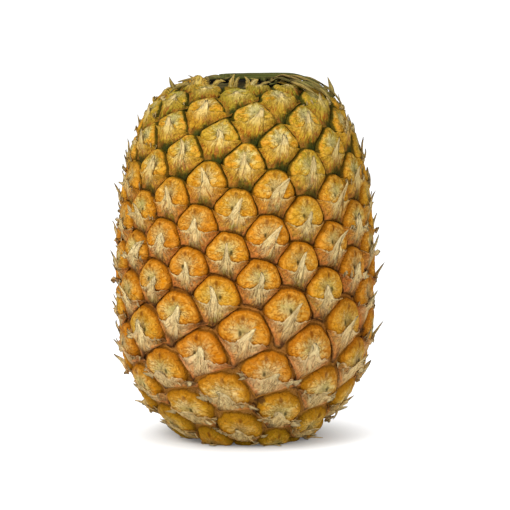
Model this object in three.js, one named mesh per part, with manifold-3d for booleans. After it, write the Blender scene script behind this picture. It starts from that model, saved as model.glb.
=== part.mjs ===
// A ripe pineapple standing upright, with its crown cut off level with the shoulder.
// Millimetres, +Z up, front towards -Y. The origin lies on the ground under the middle.
//
// The fruit is a coalescence of about 170 small fruits, the eyes, set on one spiral.
// Each eye has an index that rises by one at every turn of about 137 degrees, so the
// index also serves as the coordinate that runs up the fruit. An eye meets the eyes
// 8, 13 and 21 places on from it round the middle, and those 5, 8 and 13 places on
// near the ends; the walls between them are found from the spacing at that height.

import * as THREE from "three";
import * as BufferGeometryUtils from "three/addons/utils/BufferGeometryUtils.js";
import Module from "manifold-3d";

// ---- Driving dimensions: the fruit -------------------------------------------------

// Eye index, height and radius of the grown body over the tops of its eyes.
const STATIONS = [
  [-131.8, -1.2, 7], [-103.8, -1.2, 22], [-98.8, -1.0, 29], [-95.3, 0.4, 33.5],
  [-92.8, 3.0, 37.2], [-90.3, 6.5, 40.3], [-87.8, 10.0, 43.6], [-84.8, 14.4, 47.8],
  [-81.8, 19.0, 51.3], [-77.9, 25.2, 55.2], [-73, 32.8, 59.0], [-68.2, 40.2, 61.8],
  [-63.4, 47.8, 63.6], [-58.5, 55.2, 64.6], [-48.6, 70.0, 65.3], [-38.6, 82.4, 65.4],
  [-28.6, 93.0, 65.2], [-18.6, 103.3, 64.6], [-8.6, 113.8, 63.8], [1.4, 124.3, 62.6],
  [11.4, 134.9, 60.7], [21.2, 145.6, 58.0], [30.8, 155.9, 54.3], [39.8, 165.5, 49.2],
  [46, 172.0, 44.2], [51.5, 176.8, 38.6], [56.5, 179.8, 32.8], [61.8, 181.0, 26.4],
  [67.2, 181.2, 20], [92, 181.2, 5],
];
const FIRST_EYE = -118;
const LAST_EYE = 75;
const PHASE = -4.551; // azimuth of eye 0, degrees to the right of the front
const TURN = 137.3164; // azimuth from one eye to the next at index 0, degrees
const TURN_SLOPE = 0.00078; // change of that turn with the index
const TURN_CURVE = 0.000177; // and the rate of that change
const SLIDE = -0.39; // the right side's eyes sit higher than the left's, in indices
const SLIDE_RISE = 3.63; // growth of that slide over SLIDE_SPAN indices
const SLIDE_CENTRE = -20;
const SLIDE_SPAN = 60;
const SLIDE_ENDS = [-108, 86]; // the slide has died out at these indices
const SLIDE_FADE = 22; // and starts to this far from them
const GROOVE = 4.4; // depth of the walls between eyes under the eyes' tops
const EIGHT_ON = 3; // whole turns round the fruit from an eye to the one 8 places on
const THIRTEEN_ON = 5; // and to the one 13 places on
const SMALLEST_RING = 22; // the eyes' pattern is not drawn tighter than this radius
const SMALLEST_PACE = 0.55; // nor with less than this from one index to the next
const PACE_SPAN = 4; // the pace is measured over this many indices either way
const END_MARGIN = 6; // and not nearer to the ends of the outline than this
const RELIEF_FROM = 19; // radius at which the relief starts near either end
const RELIEF_FULL = 27; // radius at which it has its full depth

// ---- Driving dimensions: the hollows and the pieces that sit in them -----------------

const GAP = 0.35; // clearance between neighbouring pieces
const CROWN_FLOOR = 174.5; // height of the hollow's floor under the crown
const CROWN_FLOOR_RADIUS = 21;
const CROWN_MOUTH_RADIUS = 31;
const TOP = 190; // a height above everything
const DEPTH_BELOW = 10; // the socket's cutter starts this far under the ground
const ROOM = 100; // half the side of the block that keeps what is above the ground
const STALK_RADIUS = 10.5;
const STALK_DEPTH = 9;
const STALK_RECESS = 1.2; // the cut stalk stays this far above the ground
const STALK_EDGE = 1; // bevel of the stalk's cut end
const STALK_TAPER = 0.4; // the stalk is this much thinner at its inner end

const CUT_HEIGHT = 181.8; // the knife's cut through the crown
const STUMP_RADIUS = 5; // the crown's own stem
const STUMP_FLARE = 1; // it is this much wider at its foot
const STUMP_TOP = CUT_HEIGHT - 1;
const STUMP_PLATE = 2; // thickness of the plate the leaves grow from
const STUMP_PLATE_RISE = 0.6; // the plate is this much thicker at the stem
const STUMP_PLATE_EDGE = 1.5; // its edge slopes in by this much
const LEAF_COUNT = 30;
const LEAF_TURN = 137.5;
const LEAF_TURN_VARIES = 12;
const LEAF_INNER = 4.5; // radius of the first leaf base, and of the last
const LEAF_OUTER = 25.5;
const LEAF_FOOT = 1.5; // a leaf base starts this much nearer the axis
const LEAF_LIFT = 0.4; // and this much above the plate's underside
const LEAF_SPARE = 3; // it is made this much longer than the cut leaves it
const LEAF_LEAN = [0.12, 0.42]; // run over rise: of the innermost, and what the outermost adds
const LEAF_LEAN_VARIES = 0.06;
const LEAF_HALF = [3.5, 5.5]; // half the width, in the same way
const LEAF_NARROWING = 0.12;
const LEAF_THICK = [2.6, 2.1]; // at the foot and at the cut
const LEAF_CUP = 0.5; // how closely a leaf base bends round the axis
const SMALLEST_BEND = 8;

// Dried outer leaves: start and end azimuth, end index on the shoulder, width, thickness.
const STRAPS = [
  { from: 6, to: 48, index: 47, width: 11, thick: 1.5 },
  { from: 30, to: 64, index: 41, width: 8, thick: 1.4 },
  { from: 118, to: 138, index: 44, width: 10, thick: 1.5 },
  { from: 214, to: 196, index: 45, width: 10, thick: 1.5 },
];
const STRAP_STEPS = 6;
const STRAP_START = 66; // index at which a dried leaf leaves the hollow
const STRAP_BOW = 1.5; // how its run down the shoulder speeds up
const STRAP_STAND = 0.7; // height of its middle over the eyes' grooves
const STRAP_ROOT_RADIUS = 20;
const STRAP_ROOT_RISE = 2.5; // its root lies this far over the hollow's floor
const STRAP_ROOT_SHARE = 0.3; // share of its length inside the hollow
const STRAP_TILT = [20, 50]; // degrees its face tips outwards: at the root, and what the end adds
const STRAP_NARROWING = 0.78;
const STRAP_THINNING = 0.35;
const STRAP_CUP = 0.6;
const STRAP_ROOM = 0.4; // clearance between a dried leaf and the fruit

const COLORS = {
  fruit: 0xc98a1e,
  crown: 0x4c5a1c,
  stalk: 0xb59a62,
};

// ---- One eye ------------------------------------------------------------------------

// Each point: direction in degrees from the right, anticlockwise as seen from outside;
// share of the way from the eye's centre to its wall; height above the groove.
// The first 12 run round the eye: seven over the plump upper part, five over the bract.
const EYE_POINTS = [
  [-8, 0.86, 2.3], [25, 0.85, 2.7], [53, 0.84, 2.5], [82, 0.83, 2.7],
  [111, 0.83, 2.5], [141, 0.85, 2.7], [173, 0.86, 2.3], [201, 0.87, 2.2],
  [237, 0.82, 1.9], [268, 0.8, 2.0], [298, 0.82, 1.6], [333, 0.88, 2.1],
  [57, 0.52, 4.1], [111, 0.52, 4.1], [165, 0.46, 4.2], [5, 0.48, 4.2],
  [205, 0.46, 3.4], [328, 0.5, 3.4],
  [226, 0.6, 4.0], [238, 0.3, 4.5], [299, 0.31, 4.5], [311, 0.64, 3.9],
  [270, 0.03, 4.1],
  [90, 0.3, 6.4],
];
const [A7, A6, A1, A2, A3, A4, A5, D1, E1, E2, E3, D6] = [...Array(12).keys()];
const [B1, B2, B3, B4, C1, C2, D2, D3, D4, D5, FOOT, TIP] = [...Array(12).keys()].map((n) => n + 12);
const RIM_POINTS = 12;
const EYE_FACES = [
  [A7, A6, B4], [A6, B1, B4], [A6, A1, B1], [A1, A2, B1], [A2, B2, B1], [A2, A3, B2],
  [A3, A4, B2], [A4, B3, B2], [A4, A5, B3], [A5, C1, B3], [A5, D1, C1], [D1, D2, C1],
  [A7, B4, C2], [A7, C2, D6], [C2, D5, D6],
  [B1, B2, FOOT], [B2, B3, FOOT], [B3, C1, FOOT], [B1, FOOT, B4], [B4, FOOT, C2],
  [C1, D3, FOOT], [C1, D2, D3], [FOOT, D4, C2], [C2, D4, D5],
  [FOOT, D3, TIP], [D3, D4, TIP], [D4, FOOT, TIP],
  [D1, E1, D2], [E1, D3, D2], [E1, E2, D3], [E2, D4, D3], [E2, E3, D4], [E3, D5, D4],
  [E3, D6, D5],
];
const TIP_LIFT = 2.6; // how far the bract's tip reaches up past its own point
const TIP_LIFT_VARIES = 1.5;
const TIP_HEIGHT_VARIES = 1.1;
const TIP_SHORT_FROM = 42; // tips get shorter from this index up to the rim
const TIP_SHORT_TO = 56;
const TIP_SHORT_DROP = 1.4; // and stand off this much less
const TIP_LEAN = 26; // degrees to either side
const SHORT_WALL = 3.2; // a wall shorter than this has no point at its middle
const PARALLEL = 1e-9; // a direction this close to a wall's own never meets it
const ROUNDING = 1e-6;
const SAME_POINT = 0.0005; // points closer than this are one point

// ---- Small helpers --------------------------------------------------------------------

const wasm = await Module();
wasm.setup();

const radians = (degrees) => (degrees * Math.PI) / 180;
const clamp = (value, low, high) => Math.min(high, Math.max(low, value));

function smoothstep(low, high, value) {
  const t = clamp((value - low) / (high - low), 0, 1);
  return t * t * (3 - 2 * t);
}

// A repeatable number from -1 to 1 for an eye and one of its features.
function varied(index, feature) {
  const wave = Math.sin(index * 12.9898 + feature * 78.233) * 43758.5453;
  return 2 * (wave - Math.floor(wave)) - 1;
}

// Monotone cubic through the stations' column, with harmonic-mean slopes.
function curveThrough(column) {
  const x = STATIONS.map((row) => row[0]);
  const y = STATIONS.map((row) => row[column]);
  const slope = y.slice(1).map((value, n) => (value - y[n]) / (x[n + 1] - x[n]));
  const tangent = y.map((_, n) => {
    const before = slope[Math.max(0, n - 1)];
    const after = slope[Math.min(slope.length - 1, n)];
    const product = before * after;
    return product <= 0 ? 0 : (2 * product) / (before + after);
  });
  return (at) => {
    const value = clamp(at, x[0], x[x.length - 1]);
    const n = clamp(x.findIndex((station) => station >= value) - 1, 0, x.length - 2);
    const span = x[n + 1] - x[n];
    const t = (value - x[n]) / span;
    const rise = y[n] * (1 + 2 * t) * (1 - t) ** 2 + y[n + 1] * t * t * (3 - 2 * t);
    return rise + span * (tangent[n] * t * (1 - t) ** 2 - tangent[n + 1] * t * t * (1 - t));
  };
}

const heightAt = curveThrough(1);
const radiusAt = curveThrough(2);
const LOWEST = STATIONS[0][0];
const HIGHEST = STATIONS[STATIONS.length - 1][0];

function azimuthAt(index) {
  const bend = (TURN_SLOPE * index ** 2) / 2 + (TURN_CURVE * index ** 3) / 6;
  return PHASE + TURN * index + bend;
}

function turnAt(index) {
  return TURN + TURN_SLOPE * index + (TURN_CURVE * index ** 2) / 2;
}

function slideAt(index) {
  const [low, high] = SLIDE_ENDS;
  const begun = smoothstep(low, low + SLIDE_FADE, index);
  const ended = smoothstep(high - SLIDE_FADE, high, index);
  return (SLIDE + (SLIDE_RISE * (index - SLIDE_CENTRE)) / SLIDE_SPAN) * begun * (1 - ended);
}

// Radius, height and unit normal of the outline at an index.
function outlineAt(index) {
  const step = 0.5;
  const along = radiusAt(index + step) - radiusAt(index - step);
  const rise = heightAt(index + step) - heightAt(index - step);
  const length = Math.hypot(along, rise) || 1;
  return {
    radius: radiusAt(index),
    height: heightAt(index),
    outward: rise / length,
    upward: -along / length,
  };
}

// A point of the fruit: its index, its azimuth, its height above the groove and how far
// it is lifted towards the crown. A lifted point goes up where the skin is upright; on the
// shoulder it goes up by half as much and in by the other half.
function skinPoint(index, degrees, height, lift = 0) {
  const azimuth = radians(degrees);
  const at = outlineAt(index + slideAt(index) * Math.sin(azimuth));
  const relief = smoothstep(RELIEF_FROM, RELIEF_FULL, at.radius);
  const out = (height - GROOVE) * relief;
  const raise = lift * relief;
  const radius = Math.max(0, at.radius + out * at.outward - 0.5 * raise * at.upward);
  const level = at.height + out * at.upward + raise * (0.5 + 0.5 * at.outward);
  return [radius * Math.sin(azimuth), -radius * Math.cos(azimuth), level];
}

// ---- The pattern of eyes ----------------------------------------------------------------

// Steps to the eyes 8 and 13 places on, in millimetres right and up, at an index.
function stepsAt(index) {
  const at = clamp(index, LOWEST + END_MARGIN, HIGHEST - END_MARGIN);
  const radius = Math.max(SMALLEST_RING, radiusAt(at));
  const run = radiusAt(at + PACE_SPAN) - radiusAt(at - PACE_SPAN);
  const rise = heightAt(at + PACE_SPAN) - heightAt(at - PACE_SPAN);
  const pace = Math.max(SMALLEST_PACE, Math.hypot(run, rise) / (2 * PACE_SPAN));
  const turn = turnAt(at);
  return {
    eight: [radius * radians(8 * turn - 360 * EIGHT_ON), 8 * pace],
    thirteen: [radius * radians(13 * turn - 360 * THIRTEEN_ON), 13 * pace],
  };
}

// Four eyes i, i+8, i+13 and i+21 meet near one point. Either i and i+21 share a wall
// there or i+8 and i+13 do. Returns that wall's two ends in steps of 8 and 13 from eye i.
function meetingAt(eye) {
  const { eight, thirteen } = stepsAt(eye + 10.5);
  const a = eight[0] ** 2 + eight[1] ** 2;
  const b = thirteen[0] ** 2 + thirteen[1] ** 2;
  const c = eight[0] * thirteen[0] + eight[1] * thirteen[1];
  const d = a * b - c * c;
  if (c < 0) {
    const s = (a * b - b * c - 2 * c * c) / (2 * d);
    const t = (a * b + a * c) / (2 * d);
    return { alongRise: false, ends: [[s, t], [1 - s, 1 - t]] };
  }
  const s = (a * b - b * c) / (2 * d);
  const t = (a * b - a * c) / (2 * d);
  return { alongRise: true, ends: [[s, t], [1 - s, 1 - t]] };
}

// The corners of an eye's wall in steps of 8 and 13 from its centre, anticlockwise.
function cornersOf(eye) {
  const shifted = (point, s, t) => [point[0] - s, point[1] - t];
  const right = meetingAt(eye - 13);
  const above = meetingAt(eye);
  const left = meetingAt(eye - 8);
  const below = meetingAt(eye - 21);
  return [
    ...(right.alongRise ? right.ends : [right.ends[1]]).map((p) => shifted(p, 0, 1)),
    ...(above.alongRise ? [above.ends[0]] : above.ends),
    ...(left.alongRise ? [left.ends[1], left.ends[0]] : [left.ends[0]]).map((p) => shifted(p, 1, 0)),
    ...(below.alongRise ? [below.ends[1]] : [below.ends[1], below.ends[0]]).map((p) => shifted(p, 1, 1)),
  ];
}

// An eye's centre, its steps and its wall, in millimetres right and up of the centre.
function eyeAt(eye) {
  const { eight, thirteen } = stepsAt(eye);
  const toMillimetres = ([s, t]) => [
    s * eight[0] + t * thirteen[0],
    s * eight[1] + t * thirteen[1],
  ];
  const area = eight[0] * thirteen[1] - eight[1] * thirteen[0];
  const toSteps = ([x, y]) => [
    (x * thirteen[1] - y * thirteen[0]) / area,
    (y * eight[0] - x * eight[1]) / area,
  ];
  const wall = [];
  const corners = cornersOf(eye);
  corners.forEach((corner, n) => {
    const next = corners[(n + 1) % corners.length];
    const [x0, y0] = toMillimetres(corner);
    const [x1, y1] = toMillimetres(next);
    wall.push(corner);
    if (Math.hypot(x1 - x0, y1 - y0) > SHORT_WALL) {
      wall.push([(corner[0] + next[0]) / 2, (corner[1] + next[1]) / 2]);
    }
  });
  return { eye, toMillimetres, toSteps, wall };
}

// Distance from the centre to the wall in a direction.
function reach(outline, angle) {
  const dx = Math.cos(angle);
  const dy = Math.sin(angle);
  let nearest = Infinity;
  outline.forEach(([x0, y0], n) => {
    const [x1, y1] = outline[(n + 1) % outline.length];
    const across = dx * (y1 - y0) - dy * (x1 - x0);
    const distance = (x0 * (y1 - y0) - y0 * (x1 - x0)) / across;
    const share = (x0 * dy - y0 * dx) / across;
    const met = Math.abs(across) > PARALLEL && distance > 0 && Math.abs(share - 0.5) <= 0.5 + ROUNDING;
    nearest = met ? Math.min(nearest, distance) : nearest;
  });
  return nearest;
}

// Triangles between an eye's rim points and its wall, both anticlockwise.
function stitch(rim, wall, angleOf) {
  const unwrap = (loop) => {
    const start = loop.reduce((best, p, n) => (angleOf(p) < angleOf(loop[best]) ? n : best), 0);
    return loop.map((_, n) => loop[(start + n) % loop.length]);
  };
  const angleAfter = (loop, n) => {
    const wraps = n + 1 >= loop.length ? 360 : 0;
    return n < loop.length ? angleOf(loop[(n + 1) % loop.length]) + wraps : Infinity;
  };
  const inner = unwrap(rim);
  const outer = unwrap(wall);
  const faces = [];
  let i = 0;
  let o = 0;
  while (i < inner.length || o < outer.length) {
    const a = inner[i % inner.length];
    const b = outer[o % outer.length];
    if (angleAfter(inner, i) < angleAfter(outer, o)) {
      faces.push([a, b, inner[(i + 1) % inner.length]]);
      i += 1;
    } else {
      faces.push([a, b, outer[(o + 1) % outer.length]]);
      o += 1;
    }
  }
  return faces;
}

// Adds the points of one eye on the skin, with the bract's tip standing off it, and
// returns its triangles.
function growEye(eye, add) {
  const { toMillimetres, toSteps, wall } = eyeAt(eye);
  const outline = wall.map(toMillimetres);
  const long = 1 - smoothstep(TIP_SHORT_FROM, TIP_SHORT_TO, eye);
  const place = ([s, t], height, lift) => {
    const index = eye + 8 * s + 13 * t;
    const turns = EIGHT_ON * s + THIRTEEN_ON * t;
    return skinPoint(clamp(index, LOWEST, HIGHEST), azimuthAt(index) - 360 * turns, height, lift);
  };
  const points = EYE_POINTS.map(([direction, share, height], n) => {
    const tip = Number(n === TIP);
    const angle = radians(direction + tip * TIP_LEAN * varied(eye, 1));
    const distance = share * reach(outline, angle);
    const spot = [distance * Math.cos(angle), distance * Math.sin(angle)];
    const lift = tip * long * (TIP_LIFT + TIP_LIFT_VARIES * varied(eye, 2));
    const stand = tip * (long * TIP_HEIGHT_VARIES * varied(eye, 3) - TIP_SHORT_DROP * (1 - long));
    return { spot, id: add(place(toSteps(spot), height + stand, lift)) };
  });
  const walls = wall.map((corner, n) => ({ spot: outline[n], id: add(place(corner, 0, 0)) }));
  const angleOf = ({ spot }) => (THREE.MathUtils.radToDeg(Math.atan2(spot[1], spot[0])) + 360) % 360;
  const inner = EYE_FACES.map((face) => face.map((n) => points[n].id));
  const outer = stitch(points.slice(0, RIM_POINTS), walls, angleOf);
  return [...inner, ...outer.map((face) => face.map((p) => p.id))];
}

// ---- Solids -----------------------------------------------------------------------------

function solidFrom(positions, triangles) {
  const mesh = new wasm.Mesh({
    numProp: 3,
    vertProperties: new Float32Array(positions.flat()),
    triVerts: new Uint32Array(triangles.flat()),
  });
  return new wasm.Manifold(mesh);
}

function solidFromGeometry(geometry) {
  const bare = geometry.index ? geometry.toNonIndexed() : geometry.clone();
  bare.deleteAttribute("normal");
  bare.deleteAttribute("uv");
  const merged = BufferGeometryUtils.mergeVertices(bare, SAME_POINT / 5);
  const mesh = new wasm.Mesh({
    numProp: 3,
    vertProperties: new Float32Array(merged.attributes.position.array),
    triVerts: new Uint32Array(merged.index.array),
  });
  return new wasm.Manifold(mesh);
}

// The biggest connected body of a solid, without the scraps that a cut can leave.
function largest(solid) {
  return solid.decompose().reduce((best, body) => (body.volume() > best.volume() ? body : best));
}

function meshFrom(name, solid, color, roughness) {
  const { vertProperties, triVerts } = solid.getMesh();
  const geometry = new THREE.BufferGeometry();
  geometry.setAttribute("position", new THREE.BufferAttribute(new Float32Array(vertProperties), 3));
  geometry.setIndex(new THREE.BufferAttribute(new Uint32Array(triVerts), 1));
  geometry.computeVertexNormals();
  const material = new THREE.MeshStandardMaterial({ color, roughness, metalness: 0 });
  const mesh = new THREE.Mesh(geometry, material);
  mesh.name = name;
  return mesh;
}

// A turned solid from pairs of radius and height that start and end on the axis.
function turned(profile, sides) {
  const lathe = new THREE.LatheGeometry(profile.map(([r, z]) => new THREE.Vector2(r, z)), sides);
  lathe.rotateX(Math.PI / 2);
  return solidFromGeometry(lathe);
}

// Fans that close the two open ends of the skin at the axis.
function endCaps(triangles, positions, add) {
  const edges = new Map();
  triangles.forEach((face) => {
    face.forEach((from, n) => edges.set(`${from},${face[(n + 1) % 3]}`, [from, face[(n + 1) % 3]]));
  });
  const open = [...edges.values()].filter(([from, to]) => !edges.has(`${to},${from}`));
  const bottom = add([0, 0, STATIONS[0][1]]);
  const top = add([0, 0, STATIONS[STATIONS.length - 1][1]]);
  const middle = positions[top][2] / 2;
  return open.map(([from, to]) => [to, from, positions[from][2] < middle ? bottom : top]);
}

// All eyes from the stalk to the crown, joined at their walls into one closed skin.
function grownBody() {
  const positions = [];
  const found = new Map();
  const add = (point) => {
    const key = point.map((value) => Math.round(value / SAME_POINT)).join(",");
    if (!found.has(key)) {
      found.set(key, positions.length);
      positions.push(point);
    }
    return found.get(key);
  };
  const triangles = [];
  for (let eye = FIRST_EYE; eye <= LAST_EYE; eye += 1) {
    triangles.push(...growEye(eye, add));
  }
  return solidFrom(positions, [...triangles, ...endCaps(triangles, positions, add)]);
}

// A box from one corner to the other.
function block(low, high) {
  const size = high.map((value, n) => value - low[n]);
  const box = new THREE.BoxGeometry(...size);
  box.translate(...low.map((value, n) => value + size[n] / 2));
  return solidFromGeometry(box);
}

// ---- The cut crown ------------------------------------------------------------------------

// A blade with a pointed section, two edges and two ridges, swept through frames. Each
// frame gives the middle, the direction across, the direction out of the blade, half the
// width, the thickness and how far the edges bend back.
function blade(frames) {
  const ring = [[-1, 0], [0, 0.5], [1, 0], [0, -0.5]];
  const positions = frames.flatMap(({ middle, side, out, half, thick, cup }) => (
    ring.map(([u, face]) => {
      const depth = face * thick - cup * u * u;
      return middle.map((value, n) => value + side[n] * u * half + out[n] * depth);
    })
  ));
  const triangles = [];
  const count = ring.length;
  for (let row = 0; row + 1 < frames.length; row += 1) {
    for (let n = 0; n < count; n += 1) {
      const a = row * count + n;
      const b = row * count + ((n + 1) % count);
      triangles.push([a, b, b + count], [a, b + count, a + count]);
    }
  }
  const last = (frames.length - 1) * count;
  for (let n = 1; n + 1 < count; n += 1) {
    triangles.push([0, n + 1, n], [last, last + n, last + n + 1]);
  }
  const solid = solidFrom(positions, triangles);
  return solid.volume() > 0 ? solid : solidFrom(positions, triangles.map(([a, b, c]) => [a, c, b]));
}

// One leaf base: it stands on the crown's stump, curved round it, leaning outwards.
function leafBase(n) {
  const share = (n + 0.5) / LEAF_COUNT;
  const azimuth = radians(LEAF_TURN * n + LEAF_TURN_VARIES * varied(n, 5));
  const radius = LEAF_INNER + (LEAF_OUTER - LEAF_INNER) * Math.sqrt(share);
  const lean = LEAF_LEAN[0] + LEAF_LEAN[1] * share + LEAF_LEAN_VARIES * varied(n, 6);
  const half = LEAF_HALF[0] + LEAF_HALF[1] * share;
  const bottom = CROWN_FLOOR + GAP + LEAF_LIFT;
  const rise = CUT_HEIGHT + LEAF_SPARE - bottom;
  const frames = [0, 0.5, 1].map((t) => {
    const at = radius - LEAF_FOOT + lean * rise * t;
    return {
      middle: [at * Math.sin(azimuth), -at * Math.cos(azimuth), bottom + rise * t],
      side: [Math.cos(azimuth), Math.sin(azimuth), 0],
      out: [Math.sin(azimuth), -Math.cos(azimuth), 0],
      half: half * (1 - LEAF_NARROWING * t),
      thick: LEAF_THICK[0] + (LEAF_THICK[1] - LEAF_THICK[0]) * t,
      cup: (LEAF_CUP * half ** 2) / Math.max(at, SMALLEST_BEND),
    };
  });
  return blade(frames);
}

// A dried outer leaf that lies over the rim of the shoulder, grown by a margin all round.
function strap({ from, to, index, width, thick }, margin) {
  const places = [...Array(STRAP_STEPS).keys()].map((n) => {
    const t = n / (STRAP_STEPS - 1);
    const degrees = from + (to - from) * t;
    const azimuth = radians(degrees);
    const along = index + (STRAP_START - index) * (1 - t) ** STRAP_BOW;
    const onSkin = skinPoint(along, degrees, GROOVE + STRAP_STAND);
    const root = [
      STRAP_ROOT_RADIUS * Math.sin(azimuth),
      -STRAP_ROOT_RADIUS * Math.cos(azimuth),
      CROWN_FLOOR + STRAP_ROOT_RISE,
    ];
    const outside = smoothstep(0, STRAP_ROOT_SHARE, t);
    const middle = onSkin.map((value, k) => value * outside + root[k] * (1 - outside));
    return { middle, azimuth, t };
  });
  return blade(places.map(({ middle, azimuth, t }, n) => {
    const before = places[Math.max(0, n - 1)].middle;
    const after = places[Math.min(STRAP_STEPS - 1, n + 1)].middle;
    const along = new THREE.Vector3(...after.map((value, k) => value - before[k])).normalize();
    const tilt = radians(STRAP_TILT[0] + STRAP_TILT[1] * t);
    const face = new THREE.Vector3(
      Math.sin(azimuth) * Math.sin(tilt), -Math.cos(azimuth) * Math.sin(tilt), Math.cos(tilt),
    );
    const side = new THREE.Vector3().crossVectors(face, along).normalize();
    const out = new THREE.Vector3().crossVectors(along, side);
    return {
      middle,
      side: side.toArray(),
      out: out.toArray(),
      half: (width / 2) * (1 - STRAP_NARROWING * t ** 2) + margin,
      thick: thick * (1 - STRAP_THINNING * t) + 2 * margin,
      cup: STRAP_CUP * (1 - t),
    };
  }));
}

// ---- Assembly -----------------------------------------------------------------------------

const mouthAtCut = THREE.MathUtils.mapLinear(
  CUT_HEIGHT, CROWN_FLOOR, TOP, CROWN_FLOOR_RADIUS, CROWN_MOUTH_RADIUS,
);
const hollow = turned([
  [0, CROWN_FLOOR], [CROWN_FLOOR_RADIUS, CROWN_FLOOR], [CROWN_MOUTH_RADIUS, TOP], [0, TOP],
], 40);
const socketRadius = STALK_RADIUS + GAP;
const socket = turned([
  [0, -DEPTH_BELOW], [socketRadius, -DEPTH_BELOW], [socketRadius, STALK_DEPTH], [0, STALK_DEPTH],
], 24);
const aboveGround = block([-ROOM, -ROOM, 0], [ROOM, ROOM, TOP]);
const strapRoom = wasm.Manifold.union(STRAPS.map((spec) => strap(spec, STRAP_ROOM)));
const fruit = largest(
  grownBody().intersect(aboveGround).subtract(hollow).subtract(socket).subtract(strapRoom),
);

const stump = turned([
  [0, CROWN_FLOOR + GAP],
  [CROWN_FLOOR_RADIUS - GAP, CROWN_FLOOR + GAP],
  [CROWN_FLOOR_RADIUS - STUMP_PLATE_EDGE, CROWN_FLOOR + STUMP_PLATE],
  [STUMP_RADIUS + STUMP_FLARE, CROWN_FLOOR + STUMP_PLATE + STUMP_PLATE_RISE],
  [STUMP_RADIUS, STUMP_TOP],
  [0, STUMP_TOP],
], 32);
const insideHollow = turned([
  [0, CROWN_FLOOR + GAP], [CROWN_FLOOR_RADIUS - GAP, CROWN_FLOOR + GAP],
  [mouthAtCut - GAP, CUT_HEIGHT], [0, CUT_HEIGHT],
], 40);
const leaves = [...Array(LEAF_COUNT).keys()].map(leafBase);
const crown = largest(
  wasm.Manifold.union([stump, ...leaves])
    .intersect(insideHollow)
    .add(wasm.Manifold.union(STRAPS.map((spec) => strap(spec, 0)))),
);

const stalk = turned([
  [0, STALK_RECESS],
  [STALK_RADIUS - STALK_EDGE, STALK_RECESS],
  [STALK_RADIUS, STALK_RECESS + STALK_EDGE],
  [STALK_RADIUS - STALK_TAPER, STALK_DEPTH - GAP],
  [0, STALK_DEPTH - GAP],
], 24);

const pineapple = new THREE.Group();
pineapple.add(
  meshFrom("fruit", fruit, COLORS.fruit, 0.6),
  meshFrom("crown_leaf_bases", crown, COLORS.crown, 0.65),
  meshFrom("stalk", stalk, COLORS.stalk, 0.85),
);

// The middle of the whole goes over the origin.
const box = new THREE.Box3().setFromObject(pineapple);
const middle = box.getCenter(new THREE.Vector3());
pineapple.position.set(-middle.x, -middle.y, -box.min.z);

export default pineapple;
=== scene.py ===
"""Looks of a ripe pineapple that stands upright with its crown cut off level with the shoulder.

Lengths are in millimetres until a mesh is made, with +Z up and the front towards -Y. The
fruit is one spiral of small fruits, the eyes. An eye's index rises by one at each turn of
about 137 degrees, and the same index, as a real number, is the coordinate up the fruit.
"""

from __future__ import annotations

import logging
import math
from collections.abc import Callable
from dataclasses import dataclass, field
from enum import Enum, IntEnum

import bpy
import numpy as np
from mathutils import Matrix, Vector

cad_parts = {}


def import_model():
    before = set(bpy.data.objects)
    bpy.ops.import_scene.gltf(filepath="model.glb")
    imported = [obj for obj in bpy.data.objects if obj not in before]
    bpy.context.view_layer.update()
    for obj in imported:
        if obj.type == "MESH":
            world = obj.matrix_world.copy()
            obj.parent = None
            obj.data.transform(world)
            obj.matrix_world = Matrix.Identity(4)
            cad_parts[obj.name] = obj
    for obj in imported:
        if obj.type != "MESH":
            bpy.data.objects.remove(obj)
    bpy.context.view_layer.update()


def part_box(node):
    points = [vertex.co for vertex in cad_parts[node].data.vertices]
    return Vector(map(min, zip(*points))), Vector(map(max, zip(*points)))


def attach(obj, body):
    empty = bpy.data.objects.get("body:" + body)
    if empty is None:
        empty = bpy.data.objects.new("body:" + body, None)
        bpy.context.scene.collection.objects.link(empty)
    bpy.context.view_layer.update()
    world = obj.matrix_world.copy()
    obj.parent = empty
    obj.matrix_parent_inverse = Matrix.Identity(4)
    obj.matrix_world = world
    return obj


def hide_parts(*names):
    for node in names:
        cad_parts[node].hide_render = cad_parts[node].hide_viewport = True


Array = np.ndarray
Pair = tuple[float, float]
LOG = logging.getLogger("pineapple")
METRES = 0.001
FRUIT_HEIGHT = 0.182  # in metres, over which the colours run from the foot to the top
WELD_CELLS = 1000  # points in the same thousandth of a millimetre are one
UP = np.array([0.0, 0.0, 1.0])
EIGHT_TURNS = 3  # whole turns round the fruit from an eye to the one 8 places on
THIRTEEN_TURNS = 5  # and to the one 13 places on
SPLITS = (-44, 16)  # the first eyes of the middle and of the upper band


# ---- Small helpers


class Trait(IntEnum):
    """The traits in which eyes and leaves differ, each with its own number."""

    STUMP = 3
    LEAF_TURN = 5
    LEAF_TOP = 7
    FOLD_BROAD = 12
    FOLD_FINE = 13
    EDGE_BROAD = 14
    EDGE_FINE = 15
    NOTCH = 21
    TONE = 22
    FOOT = 31
    TALL = 32
    WIDE = 33
    LEAN = 34
    BEND = 35
    RAG_BROAD = 36
    RAG_MIDDLE = 37
    RAG_FINE = 38
    TONGUE_EDGE = 39
    LIP = 41
    STAND = 42
    STAND_CURVE = 43
    RIB_BROAD = 44
    FLAP_SIDE = 45
    FLAP_PLACE = 46
    FLAP_SIZE = 47
    RIB_FINE = 48
    LEAF_TONE = 51
    LEAF_DRYNESS = 52
    SCALE_TURN = 61
    SCALE_TWIST = 62
    SCRAP = 71
    LEFT_END = 81
    RIGHT_END = 82
    ASIDE = 83
    SAG = 84
    HOOK = 85


def smoothstep(low: float, high: float, value: Array | float) -> Array:
    """Rise from 0 at low to 1 at high along 3t^2 - 2t^3."""
    t = np.clip((value - low) / (high - low), 0.0, 1.0)
    return t * t * (3.0 - 2.0 * t)


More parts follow.
